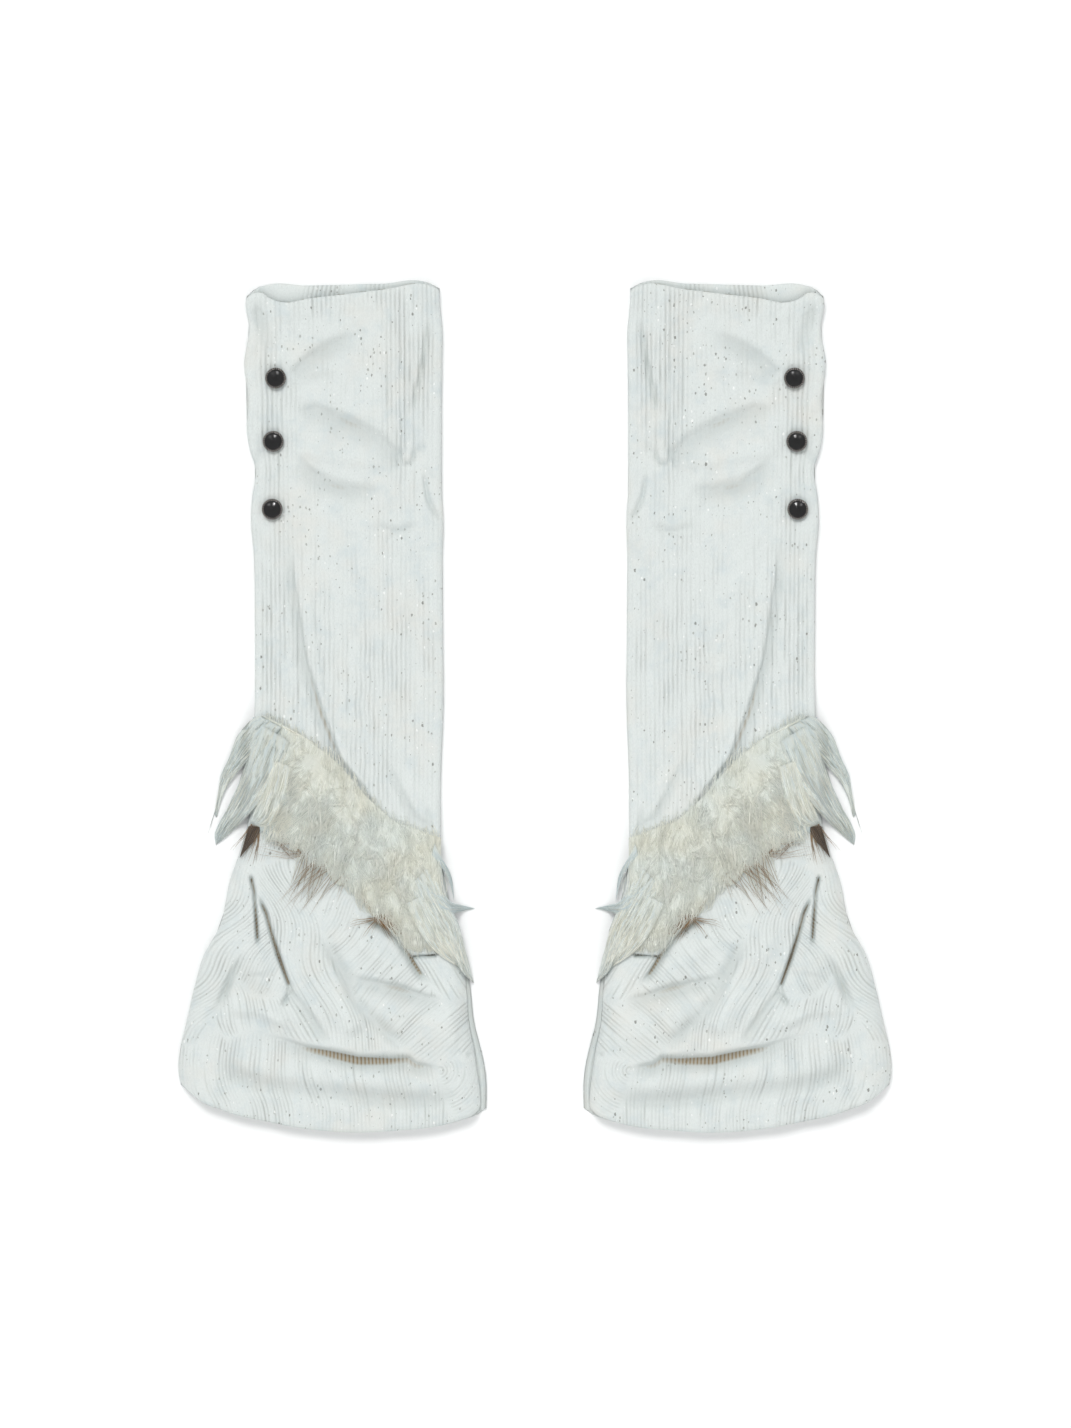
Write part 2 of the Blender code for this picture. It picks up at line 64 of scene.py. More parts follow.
LEG_AXIS = 132.8
CLOTH = 2.0
SEAM_GAP = 0.3
SEAM_EDGE = 0.23
SIDE_SEAM_HEIGHT = 2.6
HALF_TUBE = 67.0
TUBE_WIDTH = 2.0 * HALF_TUBE
TUBE_RIBS = 42
RIM_HEM = 13.5

TUBE_OUTLINE = (
    (300, 69, -65.2),
    (286, 72, -65.6),
    (269, 69.6, -67.2),
    (244, 73, -67.2),
    (218, 70.2, -66.8),
    (193, 70.9, -66.8),
    (184, 69.4, -66.8),
    (168, 64.8, -66.8),
    (150, 67.2, -67),
    (133, 68.1, -68),
    (108, 66.2, -67.4),
    (57, 65.4, -67.6),
    (0, 65.4, -68),
    (-45, 66, -66.4),
    (-110, 68, -66),
)
BACK_RIM = ((0, 291), (0.03, 296.4), (0.07, 298.6), (0.3, 298.7), (0.7, 300), (0.96, 299.8), (1, 296.6))
FUR_TOP = (
    (-68, -92.4),
    (-58, -89.4),
    (-45, -84),
    (-34, -80.4),
    (-22.7, -71),
    (-12.8, -61.6),
    (0, -46.4),
    (8.5, -37.4),
    (20, -28.4),
    (32.6, -19.6),
    (48, -10.6),
    (68, -6.6),
)
SEAM_BELOW_FUR_TOP = 16.0
BACK_LIFT = ((-75, 0), (-12, 4.8), (12, 4.8), (45, 0))


def smooth(share):
    share = np.clip(share, 0.0, 1.0)
    return share * share * (3.0 - 2.0 * share)


def through(where, table, column=1):
    """Values on a smooth curve through a table's rows, by their first column, and flat past its ends."""
    rows = np.array(sorted(table), float)
    knots, values = rows[:, 0], rows[:, column]
    slopes = np.gradient(values, knots)
    where = np.clip(where, knots[0], knots[-1])
    cell = np.clip(np.searchsorted(knots, where) - 1, 0, len(knots) - 2)
    span = knots[cell + 1] - knots[cell]
    share = (where - knots[cell]) / span
    back = 1.0 - share
    return (
        (1.0 + 2.0 * share) * back**2 * values[cell]
        + share * back**2 * span * slopes[cell]
        + share**2 * (3.0 - 2.0 * share) * values[cell + 1]
        - share**2 * back * span * slopes[cell + 1]
    )


def seam(across):
    return through(across, FUR_TOP) - SEAM_BELOW_FUR_TOP


def seam_at(shares):
    return seam(HALF_TUBE * (1.0 - 2.0 * shares))


def lift(across, along):
    """Height of the back over the floor: it rises over the fur under the seam."""
    distances, heights = zip(*BACK_LIFT)
    return np.interp(along - seam(across), distances, heights)


def hump(distance, width):
    """1 at no distance, and nearly 0 at twice the width."""
    return np.exp(-((distance / width) ** 2))


def patch(across, along, over, up, half_width, half_length):
    """1 at one place, fading smoothly to nearly 0 at twice the half widths from it."""
    return np.exp(-(((across - over) / half_width) ** 2 + ((along - up) / half_length) ** 2))


def edge_rise(inside, radius):
    share = np.clip(inside / radius, 0.0, 1.0)
    return np.sqrt(1.0 - (1.0 - share) ** 2)


def spread(shares, sides, wall):
    outer, inner = sides[0] - wall, sides[1] + wall
    return outer + (inner - outer) * shares


def inside_edges(across, sides, wall=0.0):
    return np.minimum(sides[0] - wall - across, across - sides[1] - wall)


def tube_sides(along):
    return through(along, TUBE_OUTLINE, 1), through(along, TUBE_OUTLINE, 2)


def back_height(across, along, sides, wall=0.0):
    radius = SIDE_SEAM_HEIGHT - SEAM_GAP / 2 - wall
    return lift(across, along) + wall + radius * (1.0 - edge_rise(inside_edges(across, sides, wall), radius))


def rib_profile(ribs):
    """Height of a cord's round rib, from 0 in the grooves at whole numbers to 1 at its crest."""
    return 1.0 - np.abs(2.0 * (ribs - np.floor(ribs)) - 1.0) ** 2.5


def rolling(across, along, length, seed):
    """Soft uneven swelling of hand-laid cloth, about -1 to 1, with waves about the given length."""
    angles = np.random.default_rng(seed).uniform(0.0, 2.0 * np.pi, (6, 2))
    total = 0.0
    for turn, start in angles:
        wave = 2.0 * np.pi / (length * (0.7 + 0.6 * start / (2.0 * np.pi)))
        total = total + np.sin(wave * (across * np.cos(turn) + along * np.sin(turn)) + start)
    return total / 3.0


def groove_depths(ribs, along, seed):
    """How deep each groove is beside the others, from 0 to 1.1. Each one fades in and out down its length."""
    number = np.floor(ribs + 0.5).astype(int)
    number = number - number.min()
    table = np.random.default_rng(seed).uniform(0.0, 1.0, (number.max() + 1, 3))
    own, turn, pitch = np.moveaxis(table[number], -1, 0)
    beats = 0.3 * np.sin(along / (12.0 + 30.0 * pitch) + 6.3 * turn)
    beats = beats + 0.18 * np.sin(along / (3.0 + 5.0 * turn) + 6.3 * pitch)
    return np.clip(0.25 + 0.7 * own + beats, 0.0, 1.1)


def grid(across, along, height):
    return np.stack(np.broadcast_arrays(across, along, height), axis=-1).astype(float)


def outwards(points):
    """Unit normals of a grid, away from the floor when its rows run down the leg."""
    down, over = np.gradient(points, axis=0), np.gradient(points, axis=1)
    normal = np.cross(over, down)
    return normal / np.linalg.norm(normal, axis=-1, keepdims=True)


def wall_faces(fine, coarse):
    """Faces of a closed wall between a fine grid and one whose cells are whole numbers of its own."""
    top = np.arange(fine[0] * fine[1]).reshape(fine)
    low = np.arange(coarse[0] * coarse[1]).reshape(coarse) + top.size
    quads = [
        np.stack([sheet[:-1, :-1], sheet[1:, :-1], sheet[1:, 1:], sheet[:-1, 1:]], -1).reshape(-1, 4)
        for sheet in (top, low[:, ::-1])
    ]
    rims = (
        (top[0, ::-1], low[0, ::-1]),
        (top[-1], low[-1]),
        (top[:, 0], low[:, 0]),
        (top[::-1, -1], low[::-1, -1]),
    )
    corners = []
    for near, far in rims:
        ratio = (len(near) - 1) // (len(far) - 1)
        turn = (ratio + 1) // 2
        for cell in range(len(far) - 1):
            for step in range(ratio):
                end = far[cell] if step < turn else far[cell + 1]
                corners.append((near[cell * ratio + step + 1], near[cell * ratio + step], end))
            corners.append((far[cell], far[cell + 1], near[cell * ratio + turn]))
    return np.concatenate(quads).tolist() + [list(map(int, corner)) for corner in corners]


def closed_wall(outer, inner, pattern, fields):
    """A closed wall between two grids, as points, faces and values. The inner grid may be the coarser one."""
    row_step = (outer.shape[0] - 1) // (inner.shape[0] - 1)
    column_step = (outer.shape[1] - 1) // (inner.shape[1] - 1)
    coarse = pattern[::row_step, ::column_step]
    values = {"pattern": np.concatenate([pattern.reshape(-1, 2), coarse.reshape(-1, 2)])}
    for word, numbers in fields.items():
        numbers = np.broadcast_to(numbers, outer.shape[:2])
        values[word] = np.concatenate([numbers.ravel(), numbers[::row_step, ::column_step].ravel()])
    points = np.concatenate([outer.reshape(-1, 3), inner.reshape(-1, 3)])
    return points, wall_faces(outer.shape[:2], inner.shape[:2]), values


def put(name, side, points, faces, values):
    """Makes a mesh object from points in a leg's measures. Its values are numbers for each point, by name."""
    placed = points * MM
    placed[:, 0] = side * (LEG_AXIS * MM + placed[:, 0])
    mesh = bpy.data.meshes.new(name)
    mesh.from_pydata(placed.tolist(), [], faces if side < 0 else [face[::-1] for face in faces])
    corner_points = np.empty(len(mesh.loops), np.int64)
    mesh.loops.foreach_get("vertex_index", corner_points)
    for word, numbers in values.items():
        if word == "pattern":
            layer = mesh.uv_layers.new(name=word)
            layer.data.foreach_set("uv", numbers[corner_points].astype(np.float32).ravel())
        else:
            attribute = mesh.attributes.new(word, "FLOAT", "POINT")
            attribute.data.foreach_set("value", numbers.astype(np.float32))
    mesh.shade_smooth()
    piece = bpy.data.objects.new(name, mesh)
    bpy.context.scene.collection.objects.link(piece)
    return piece


def colour(text):
    """An sRGB hex colour as linear red, green, blue and alpha."""
    parts = [int(text[at : at + 2], 16) / 255.0 for at in (1, 3, 5)]
    return [part / 12.92 if part <= 0.04045 else ((part + 0.055) / 1.055) ** 2.4 for part in parts] + [1.0]


def add_node(tree, kind, settings=None, links=None):
    """Adds a node, sets its fields and unlinked sockets, and links the others, each by name or number."""
    node = tree.nodes.new(kind)
    for name, value in (settings or {}).items():
        if isinstance(name, int) or name in node.inputs:
            node.inputs[name].default_value = value
        else:
            setattr(node, name, value)
    for name, source in (links or {}).items():
        tree.links.new(source, node.inputs[name])
    return node


def maths(tree, operation, first, second=None):
    """A Math node's result. Each term is a number or a socket."""
    node = add_node(tree, "ShaderNodeMath", {"operation": operation})
    for at, term in enumerate((first, second)):
        if isinstance(term, (int, float)):
            node.inputs[at].default_value = term
        elif term is not None:
            tree.links.new(term, node.inputs[at])
    return node.outputs[0]


def blend_colours(tree, share, first, second):
    """A Mix node's colour. The share is a socket, and each colour a socket or a hex colour."""
    node = add_node(tree, "ShaderNodeMix", {"data_type": "RGBA"}, {0: share})
    for at, term in ((6, first), (7, second)):
        if isinstance(term, str):
            node.inputs[at].default_value = colour(term)
        else:
            tree.links.new(term, node.inputs[at])
    return node.outputs[2]


def excess(tree, first, second, gain):
    """How far one value is over another, times a gain, and 0 where it is under it."""
    over = maths(tree, "MAXIMUM", maths(tree, "SUBTRACT", first, second), 0.0)
    return maths(tree, "MULTIPLY", over, gain)


def ranged(tree, value, low, high, start, end):
    """A value from low to high as one from start to end."""
    return add_node(tree, "ShaderNodeMapRange", {1: low, 2: high, 3: start, 4: end}, {0: value}).outputs[0]


def scaled(tree, place, scale):
    return add_node(tree, "ShaderNodeMapping", {"Scale": scale}, {0: place}).outputs[0]


def noise(tree, place, scale, detail, roughness=0.5, distortion=0.0):
    settings = {"Scale": scale, "Detail": detail, "Roughness": roughness, "Distortion": distortion}
    return add_node(tree, "ShaderNodeTexNoise", settings, {"Vector": place}).outputs


def stored(tree, name):
    """A mesh's value of the given name."""
    return add_node(tree, "ShaderNodeAttribute", {"attribute_name": name}).outputs["Fac"]


def uneven_surface(tree, shader, height, strength, distance):
    bump = add_node(tree, "ShaderNodeBump", {"Strength": strength, "Distance": distance}, {"Height": height})
    tree.links.new(bump.outputs[0], shader.inputs["Normal"])


def new_material(name, settings):
    """A material, its nodes and its shader, whose sockets are set by name."""
    material = bpy.data.materials.new(name)
    material.use_nodes = True
    shader = material.node_tree.nodes["Principled BSDF"]
    for socket, value in settings.items():
        shader.inputs[socket].default_value = value
    return material, material.node_tree, shader


# Kinds of specks, two of dark neps and one of white painted highlight specks: how few there are, how close
# their cells lie, how large one grows, and its colour
NEP_AND_GLINT_KINDS = ((0.45, 140.0, 0.08, "#66675f"), (0.4, 230.0, 0.1, "#979a93"), (0.5, 170.0, 0.09, "#f6f8f6"))


def corduroy_material():
    """Ecru cotton corduroy: matt, cut pile on the cords, plain weave in the grooves painted darker as shade,
    painted shade deep in folds, small dark neps and white specks of painted highlight.
    """
    settings = {"Roughness": 0.92, "Specular IOR Level": 0.2, "Sheen Weight": 0.2, "Sheen Roughness": 0.45}
    material, tree, shader = new_material("cotton_corduroy", settings)
    pattern = add_node(tree, "ShaderNodeUVMap", {"uv_map": "pattern"}).outputs[0]
    place = add_node(tree, "ShaderNodeTexCoord").outputs["Object"]
    painted_shade = stored(tree, "painted_shade")
    parts = add_node(tree, "ShaderNodeSeparateXYZ", links={0: pattern}).outputs
    half = maths(tree, "PINGPONG", parts[0], 0.5)
    groove = maths(tree, "POWER", maths(tree, "SUBTRACT", 1.0, maths(tree, "MULTIPLY", half, 2.0)), 1.7)
    comb = maths(tree, "ADD", maths(tree, "MULTIPLY", groove, 0.6), 0.4)
    groove = maths(tree, "MULTIPLY", groove, stored(tree, "cords"))

    # Nap: streaks along the cords, then blotches of cool and warm cotton
    fibre = noise(tree, scaled(tree, pattern, (5.0, 0.5, 1.0)), 1.0, 4.0, 0.7)[0]
    cool = noise(tree, place, 70.0, 4.0, 0.65)[0]
    warm = noise(tree, place, 26.0, 3.0, 0.6)[0]
    # Painted shade in the grooves between the cords, darker where the cords stand out more
    pile = blend_colours(tree, maths(tree, "MULTIPLY", groove, 0.62), "#dbe1df", "#a4a8a3")
    pile = blend_colours(tree, excess(tree, 0.55, fibre, 1.5), pile, "#b9bfbd")
    pile = blend_colours(tree, excess(tree, cool, 0.5, 2.6), pile, "#c6d1d3")
    pile = blend_colours(tree, excess(tree, warm, 0.5, 1.4), pile, "#e0dbd1")

    # Neps: bits of seed and knotted fibre caught in the yarn, up to a millimetre across, mostly in clusters.
    # The white kind are painted highlight specks.
    cluster = ranged(tree, noise(tree, place, 55.0, 1.0)[0], 0.4, 0.64, 0.25, 1.3)
    wobble = {"operation": "MULTIPLY_ADD", 1: (0.0012, 0.0012, 0.0)}
    by_noise = {0: noise(tree, place, 1200.0, 1.0)[1], 2: place}
    wobbled = add_node(tree, "ShaderNodeVectorMath", wobble, by_noise).outputs[0]
    nep_and_glint_place = scaled(tree, wobbled, (1.0, 0.6, 1.0))
    for least, scale, most, hue in NEP_AND_GLINT_KINDS:
        cells = {"voronoi_dimensions": "2D", "Scale": scale}
        nep_and_glint = add_node(tree, "ShaderNodeTexVoronoi", cells, {"Vector": nep_and_glint_place}).outputs
        chance_of = add_node(tree, "ShaderNodeSeparateColor", links={0: nep_and_glint[1]}).outputs[0]
        radius = maths(tree, "MULTIPLY", maths(tree, "SUBTRACT", chance_of, least), 2.0 * most)
        speck = maths(tree, "LESS_THAN", nep_and_glint[0], maths(tree, "MULTIPLY", radius, cluster))
        pile = blend_colours(tree, maths(tree, "MULTIPLY", speck, 0.7), pile, hue)

    # Painted shade: the floor of a fold is painted greyer the deeper it lies, and the floor of a deep one
    # dark brown, lighter on the cords' crests where they would catch the light
    pile = blend_colours(tree, ranged(tree, painted_shade, 0.0, 0.7, 0.0, 0.45), pile, "#b3bab8")
    deep = ranged(tree, painted_shade, 0.72, 0.95, 0.0, 1.0)
    pile = blend_colours(tree, maths(tree, "MULTIPLY", deep, comb), pile, "#86704a")
    tree.links.new(pile, shader.inputs["Base Color"])

    relief = maths(tree, "MULTIPLY", groove, -0.8)
    for part in (fibre, cool):
        relief = maths(tree, "ADD", relief, maths(tree, "MULTIPLY", part, 0.4))
    uneven_surface(tree, shader, relief, 0.6, 0.0008)
    return material


corduroy = corduroy_material()


def lay_panel(panel, outer, inner, ribs, cords, painted_shade):
    """Lays one panel of each leg warmer between its two faces.

    ribs counts its cords, cords is how far they stand out, and painted_shade how much each point is painted
    darker as shade, such as deep in a fold.
    """
    pattern = np.stack(np.broadcast_arrays(ribs, outer[..., 1]), -1)
    cloth = closed_wall(outer, inner, pattern, {"cords": cords, "painted_shade": painted_shade})
    for word, side in SIDES:
        piece = put(f"{word}_{panel}_cloth", side, *cloth)
        piece.data.materials.append(corduroy)
        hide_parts(f"{word}_{panel}")
        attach(piece, "root")


FRONT_RIM = (
    (0, 290.4),
    (0.06, 293.4),
    (0.11, 289.2),
    (0.18, 286.4),
    (0.32, 289.2),
    (0.52, 292.4),
    (0.71, 295.6),
    (0.95, 298.4),
    (1, 295.6),
)
BACK_COLUMNS = 3 * TUBE_RIBS
tube_back_shares = np.linspace(0.0, 1.0, BACK_COLUMNS + 1)[None, :]
rim_down = np.concatenate([np.linspace(0.0, 20.0, 15), np.linspace(30.0, 120.0, 4)])[:, None]
above_seam = (110.0, 60.0, 45.0, 30.0, 20.0, 12.0, SEAM_EDGE)
faces_of_back = []
for wall in (0.0, CLOTH):
    low = seam_at(tube_back_shares)
    from_rim = through(tube_back_shares, BACK_RIM) - rim_down
    along = np.concatenate([from_rim] + [low + far for far in above_seam])
    sides = tube_sides(along)
    across = spread(tube_back_shares, sides, wall)
    height = back_height(across, along, sides, wall)
    if wall:
        below_rim = through(tube_back_shares, BACK_RIM) - along
        in_hem = 1.0 - smooth((below_rim - RIM_HEM + 2.0) / 2.0)
        back_cords = np.clip(0.4 + 0.8 * rolling(across, 0.2 * along, 34.0, 44), 0.05, 1.0)
        cord = rib_profile(tube_back_shares * TUBE_RIBS) * back_cords * in_hem
        turned = 0.9 * (1.0 - smooth((below_rim - RIM_HEM) / 1.5)) + 0.7 * cord
        edge = edge_rise(inside_edges(across, sides, wall), 6.0)
        height = height + turned * edge - 0.9 * hump(below_rim, 1.2)
    faces_of_back.append(grid(across, along, height))
under, upper = faces_of_back
# Painted shade on the inside of the back, darkest just above the front's rim
over_front = np.maximum(upper[..., 1] - through(tube_back_shares, FRONT_RIM), 0.0)
in_shade = 0.55 * hump(over_front, 1.4) + 0.35 * hump(over_front, 6.0)
in_shade = np.where(over_front > 0.0, in_shade, 0.0)
counts = tube_back_shares * TUBE_RIBS
lay_panel("tube_back", upper, under[:, ::3], counts, back_cords, in_shade)


# Backs of the bells
# The flared back lies flat and shows past the front's inner edge, where the cloth turns under.

BELL_RIBS = 78
BELL_OUTLINE = (
    (-22, 65.6, -66, -66),
    (-70, 68, -66, -66),
    (-96, 74, -65.6, -65.6),
    (-122, 83, -68, -68.4),
    (-156, 91, -77, -78.4),
    (-173, 100.6, -81, -83),
    (-198, 108.2, -84.4, -87.2),
    (-224, 114.2, -86.4, -90),
    (-241, 118.2, -89.8, -94.4),
    (-256, 119.6, -92, -97.6),
    (-268, 117.6, -93.8, -98.6),
    (-280, 112, -94.6, -98.4),
    (-302, 110, -95, -98),
)
HEM = (
    (0, -267),
    (0.03, -275.6),
    (0.106, -284),
    (0.267, -292.6),
    (0.4, -297.6),
    (0.53, -300),
    (0.7, -299),
    (0.92, -292),
    (0.98, -287),
    (1, -283.4),
)


def bell_sides(along, back=False):
    return through(along, BELL_OUTLINE, 1), through(along, BELL_OUTLINE, 3 if back else 2)


def bell_lines(shares, near_seam, free):
    """Lines down a bell: ones at set distances below the seam, then free ones down to the hem."""
    low = seam_at(shares)
    end = low - near_seam[-1]
    lines = [end * (1.0 - share) + through(shares, HEM) * share for share in free]
    return np.concatenate([low - distance for distance in near_seam] + lines, axis=0)


bell_back_shares = np.linspace(0.0, 1.0, 2 * BELL_RIBS + 1)[None, :]
below_seam = (SEAM_EDGE, 12.0, 28.0, 44.0, 60.0, 75.0)
faces_of_back = []
for wall in (0.0, CLOTH):
    along = bell_lines(bell_back_shares, below_seam, np.linspace(0.04, 1.0, 25))
    sides = bell_sides(along, back=True)
    across = spread(bell_back_shares, sides, wall)
    height = back_height(across, along, sides, wall)
    if wall:
        edge = edge_rise(inside_edges(across, sides, wall), 3.0)
        height = height + 0.5 * rib_profile(bell_back_shares * BELL_RIBS) * edge
    faces_of_back.append(grid(across, along, height))
under, upper = faces_of_back
counts = bell_back_shares * BELL_RIBS
# The whole back gets an even, slight painted shade
lay_panel("bell_back", upper, under[::2, ::2], counts, 0.6, 0.3)


# Fronts of the tubes
# The front is gathered at its outer side by three buttons, so drag lines fan out from them, and its weight
# makes one long lap down to the fur. The cords stand out where the cloth is bunched and lie flat where it is
# pulled.

TUBE_EDGE_ROUND = 4.0
LEAST_LOFT = 4.8
LEAST_CLOTH = 0.7
TUBE_ROWS = 160
RIB_COLUMNS = 6
TUBE_RIB_HEIGHT = 1.0
TUBE_LOFT = ((-110, 7), (60, 7), (200, 7.6), (300, 7.6))
BUTTON_PLACES = ((50.4, 232.6), (52.1, 187.9), (52.8, 140))

# A fold's width is measured to the right of its path and its lee to the left, seen in leg measures
Fold = namedtuple("Fold", "path width lee height fade_start fade_end")
TUBE_FOLDS = (
    Fold(((41, 233), (25.9, 247.6), (13.1, 255.4), (-0.4, 260.7), (-17, 264.6)), 3.6, 9, -3.8, 0.1, 0.4),
    Fold(((40.7, 226.3), (19.5, 234.1), (4, 236)), 3, 4, -1.5, 0.1, 0.4),
    Fold(((33, 240), (10, 247), (-22, 250)), 9, 12, 1.3, 0.2, 0.4),
    Fold(((37.9, 207.9), (23.7, 210.7), (5.3, 205.1), (-11, 197.3), (-24.4, 189.5), (-33.6, 178.9),
          (-38.6, 176)), 3.6, 10, -4, 0.15, 0.02),
    Fold(((-36, 186), (-36.7, 178), (-39.5, 173), (-44.5, 172.4), (-46.5, 176.5), (-47, 184)),
         1.2, 1.2, -2.8, 0.25, 0.25),
    Fold(((-46.5, 176.5), (-50.7, 182), (-58, 186)), 2.4, 2.2, -1.8, 0.05, 0.5),
    Fold(((39.3, 181.7), (-13.8, 173.2), (-40, 173.2)), 6, 4, 1.7, 0.1, 0.2),
    Fold(((36.5, 174.6), (25.9, 166.8), (15.2, 159), (-0.4, 154.8), (-15.9, 153.4), (-25.9, 151.2)),
         3.2, 9, -4, 0.2, 0.3),
    Fold(((-13.8, 130), (-27, 128), (-40.7, 125), (-50.7, 125.6)), 1.3, 2.6, -2.6, 0.5, 0.3),
    Fold(((-24, 115), (-33, 122), (-42, 126.5), (-52.1, 128.6)), 2.2, 1.2, -2.2, 0.5, 0.3),
    Fold(((-41.5, 122.5), (-43.5, 112)), 1.5, 1.5, -1.2, 0.2, 0.5),
    Fold(((-58.4, 276.6), (-54.2, 247.6), (-51.4, 234.1), (-47.8, 220), (-45.7, 206.5)),
         2.8, 1.6, -3, 0.2, 0.2),
    Fold(((-53.5, 166.8), (-57, 147), (-61.3, 137.8), (-66.9, 132.1)), 1.8, 1.5, -3.2, 0.3, 0.1),
    Fold(((-31, 292), (-35.5, 232.6), (-38.3, 180)), 8, 6, 1.9, 0.15, 0.06),
    Fold(((65.5, 288.7), (61, 270), (54, 246)), 4.5, 4, -2.6, 0.2, 0.3),
    Fold(((70, 166.8), (62, 178), (56, 184)), 3, 3, -1.6, 0, 0.2),
    Fold(((42.1, 125), (38.6, 88.2), (35.8, 73.3), (32.2, 48.5), (30.1, 32.9), (23.7, 14.5), (18.8, -2.5),
          (12.4, -18.8), (5.3, -37.2), (-9.6, -55.6), (-17.4, -67.7)), 1.8, 5, -4.4, 0.25, 0),
    Fold(((32, 110), (26, 60), (19, 10), (4, -27), (-8, -48)), 4, 8, 2.4, 0.3, 0),
    Fold(((-28, -38), (-35, -52), (-41, -64), (-47.8, -76.2), (-58.4, -81.8)), 1.6, 3.4, -3.6, 0.3, 0),
    Fold(((-57, -68), (-57.4, -84)), 2, 2, -1.6, 0.5, 0),
    Fold(((-43.3, 94.3), (-46.8, 12.8)), 4, 3, -0.8, 0.3, 0.3),
    Fold(((12, 110), (4, 40)), 10, 6, 0.8, 0.3, 0.3),
)

# Small pleats run down the inner side of the tube from its rim
PLEAT_PITCH = 5.0

# Patches where the tube's cords stand out: across, along, half widths either way, and how much
RIB_PATCHES = (
    (-40, 228, 13, 62, 0.95),
    (52, 210, 11, 60, 0.75),
    (50, 70, 20, 70, 0.6),
    (-2, -20, 90, 75, 0.36),
    (10, -50, 30, 40, 0.3),
    (-58, 250, 9, 50, 0.5),
    (20, 285, 24, 14, 0.5),
    (-20, 290, 60, 9, 0.35),
    (-30, 60, 40, 60, 0.3),
)


def fold_height(across, along, fold):
    """Height that one fold adds: a soft ridge or trough along its path, uneven, fading towards its ends."""
    path = np.array(fold.path, float)
    margin = 3.0 * max(fold.width, fold.lee)
    low, high = path.min(axis=0) - margin, path.max(axis=0) + margin
    near = (across > low[0]) & (across < high[0]) & (along > low[1]) & (along < high[1])
    here, there = across[near], along[near]
    steps = np.diff(path, axis=0)
    lengths = np.hypot(steps[:, 0], steps[:, 1])
    starts = np.concatenate([[0.0], np.cumsum(lengths)])
    nearest = np.full(here.shape, np.inf)
    on_path = np.zeros(here.shape)
    aside = np.zeros(here.shape)
    for corner, step, length, start in zip(path[:-1], steps, lengths, starts):
        share = np.clip(((here - corner[0]) * step[0] + (there - corner[1]) * step[1]) / length**2, 0.0, 1.0)
        off = np.stack([here - corner[0] - share * step[0], there - corner[1] - share * step[1]])
        distance = np.hypot(*off)
        closer = distance < nearest
        nearest = np.where(closer, distance, nearest)
        on_path = np.where(closer, (start + share * length) / starts[-1], on_path)
        turned = (step[0] * off[1] - step[1] * off[0]) / length
        aside = np.where(closer, turned, aside)
    blend = smooth(0.5 + aside / (0.6 * (fold.width + fold.lee)))
    width = fold.lee * blend + fold.width * (1.0 - blend)
    fade = 1.0 + 0.18 * np.sin(9.0 * on_path + fold.width)
    if fold.fade_start:
        fade = fade * smooth(on_path / fold.fade_start)
    if fold.fade_end:
        fade = fade * smooth((1.0 - on_path) / fold.fade_end)
    heights = np.zeros(across.shape)
    heights[near] = fold.height * fade * hump(nearest, width)
    return heights


def fold_sums(across, along, folds):
    """Height of all the folds together, and how deep in the troughs each point lies, from 0 to 1."""
    total = np.zeros(across.shape)
    deepest = np.zeros(across.shape)
    for fold in folds:
        height = fold_height(across, along, fold)
        total += height
        if fold.height < 0.0:
            deepest = np.minimum(deepest, height)
    return total, np.clip(-deepest / 6.0, 0.0, 1.0)


def lowest_near(field, reach):
    """The lowest value of a grid of numbers within a reach of cells along its rows."""
    found = field
    for step in range(1, reach + 1):
        padded = np.pad(field, ((0, 0), (step, step)), mode="edge")
        found = np.minimum(found, np.minimum(padded[:, : -2 * step], padded[:, 2 * step :]))
    return found


def front_height(across, along, sides, loft, radius, wall=0.0):
    foot = lift(across, along) + SIDE_SEAM_HEIGHT + SEAM_GAP / 2
    top = lift(across, along) + loft - wall
    return foot + (top - foot) * edge_rise(inside_edges(across, sides, wall), radius - 0.5 * wall)


def front_wall(across, inner_across, along, sides, loft, radius, relief, coarse_rows):
    """The outer face of a front, with its relief, and the coarser inner face under it."""
    base = grid(across, along, front_height(across, along, sides, loft, radius))
    outer = base + outwards(base) * relief[..., None]
    low = front_height(inner_across, along, sides, lowest_near(loft, RIB_COLUMNS), radius, CLOTH)
    inner = grid(inner_across, along, low)[::coarse_rows, ::RIB_COLUMNS]
    inner[..., 2] = np.minimum(inner[..., 2], outer[::coarse_rows, ::RIB_COLUMNS, 2] - LEAST_CLOTH)
    return outer, inner


def rib_strength(across, along):
    strength = 0.1 + 0.14 * rolling(across, along, 30.0, 4)
    for over, up, half_width, half_length, more in RIB_PATCHES:
        strength = strength + more * patch(across, along, over, up, half_width, half_length)
    return np.clip(strength, 0.02, 1.1)


def tube_loft(across, along):
    total, depth = fold_sums(across, along, TUBE_FOLDS)
    puckers = 0.24 * rolling(across, 0.6 * along, 8.0, 41) + 0.15 * rolling(across, along, 4.0, 42)
    loft = through(along, TUBE_LOFT) + total + 0.35 * rolling(across, along, 38.0, 1) + puckers
    pleats = np.cos(2.0 * np.pi * (across + 0.8 * rolling(across, along, 50.0, 45)) / PLEAT_PITCH)
    loft = loft + 0.5 * pleats * patch(across, along, -39.0, 228.0, 13.0, 56.0)
    for over, up in BUTTON_PLACES:
        loft = loft - 1.2 * np.exp(-(((across - over) ** 2 + (along - up) ** 2) / 81.0))
    return np.maximum(loft, LEAST_LOFT), depth


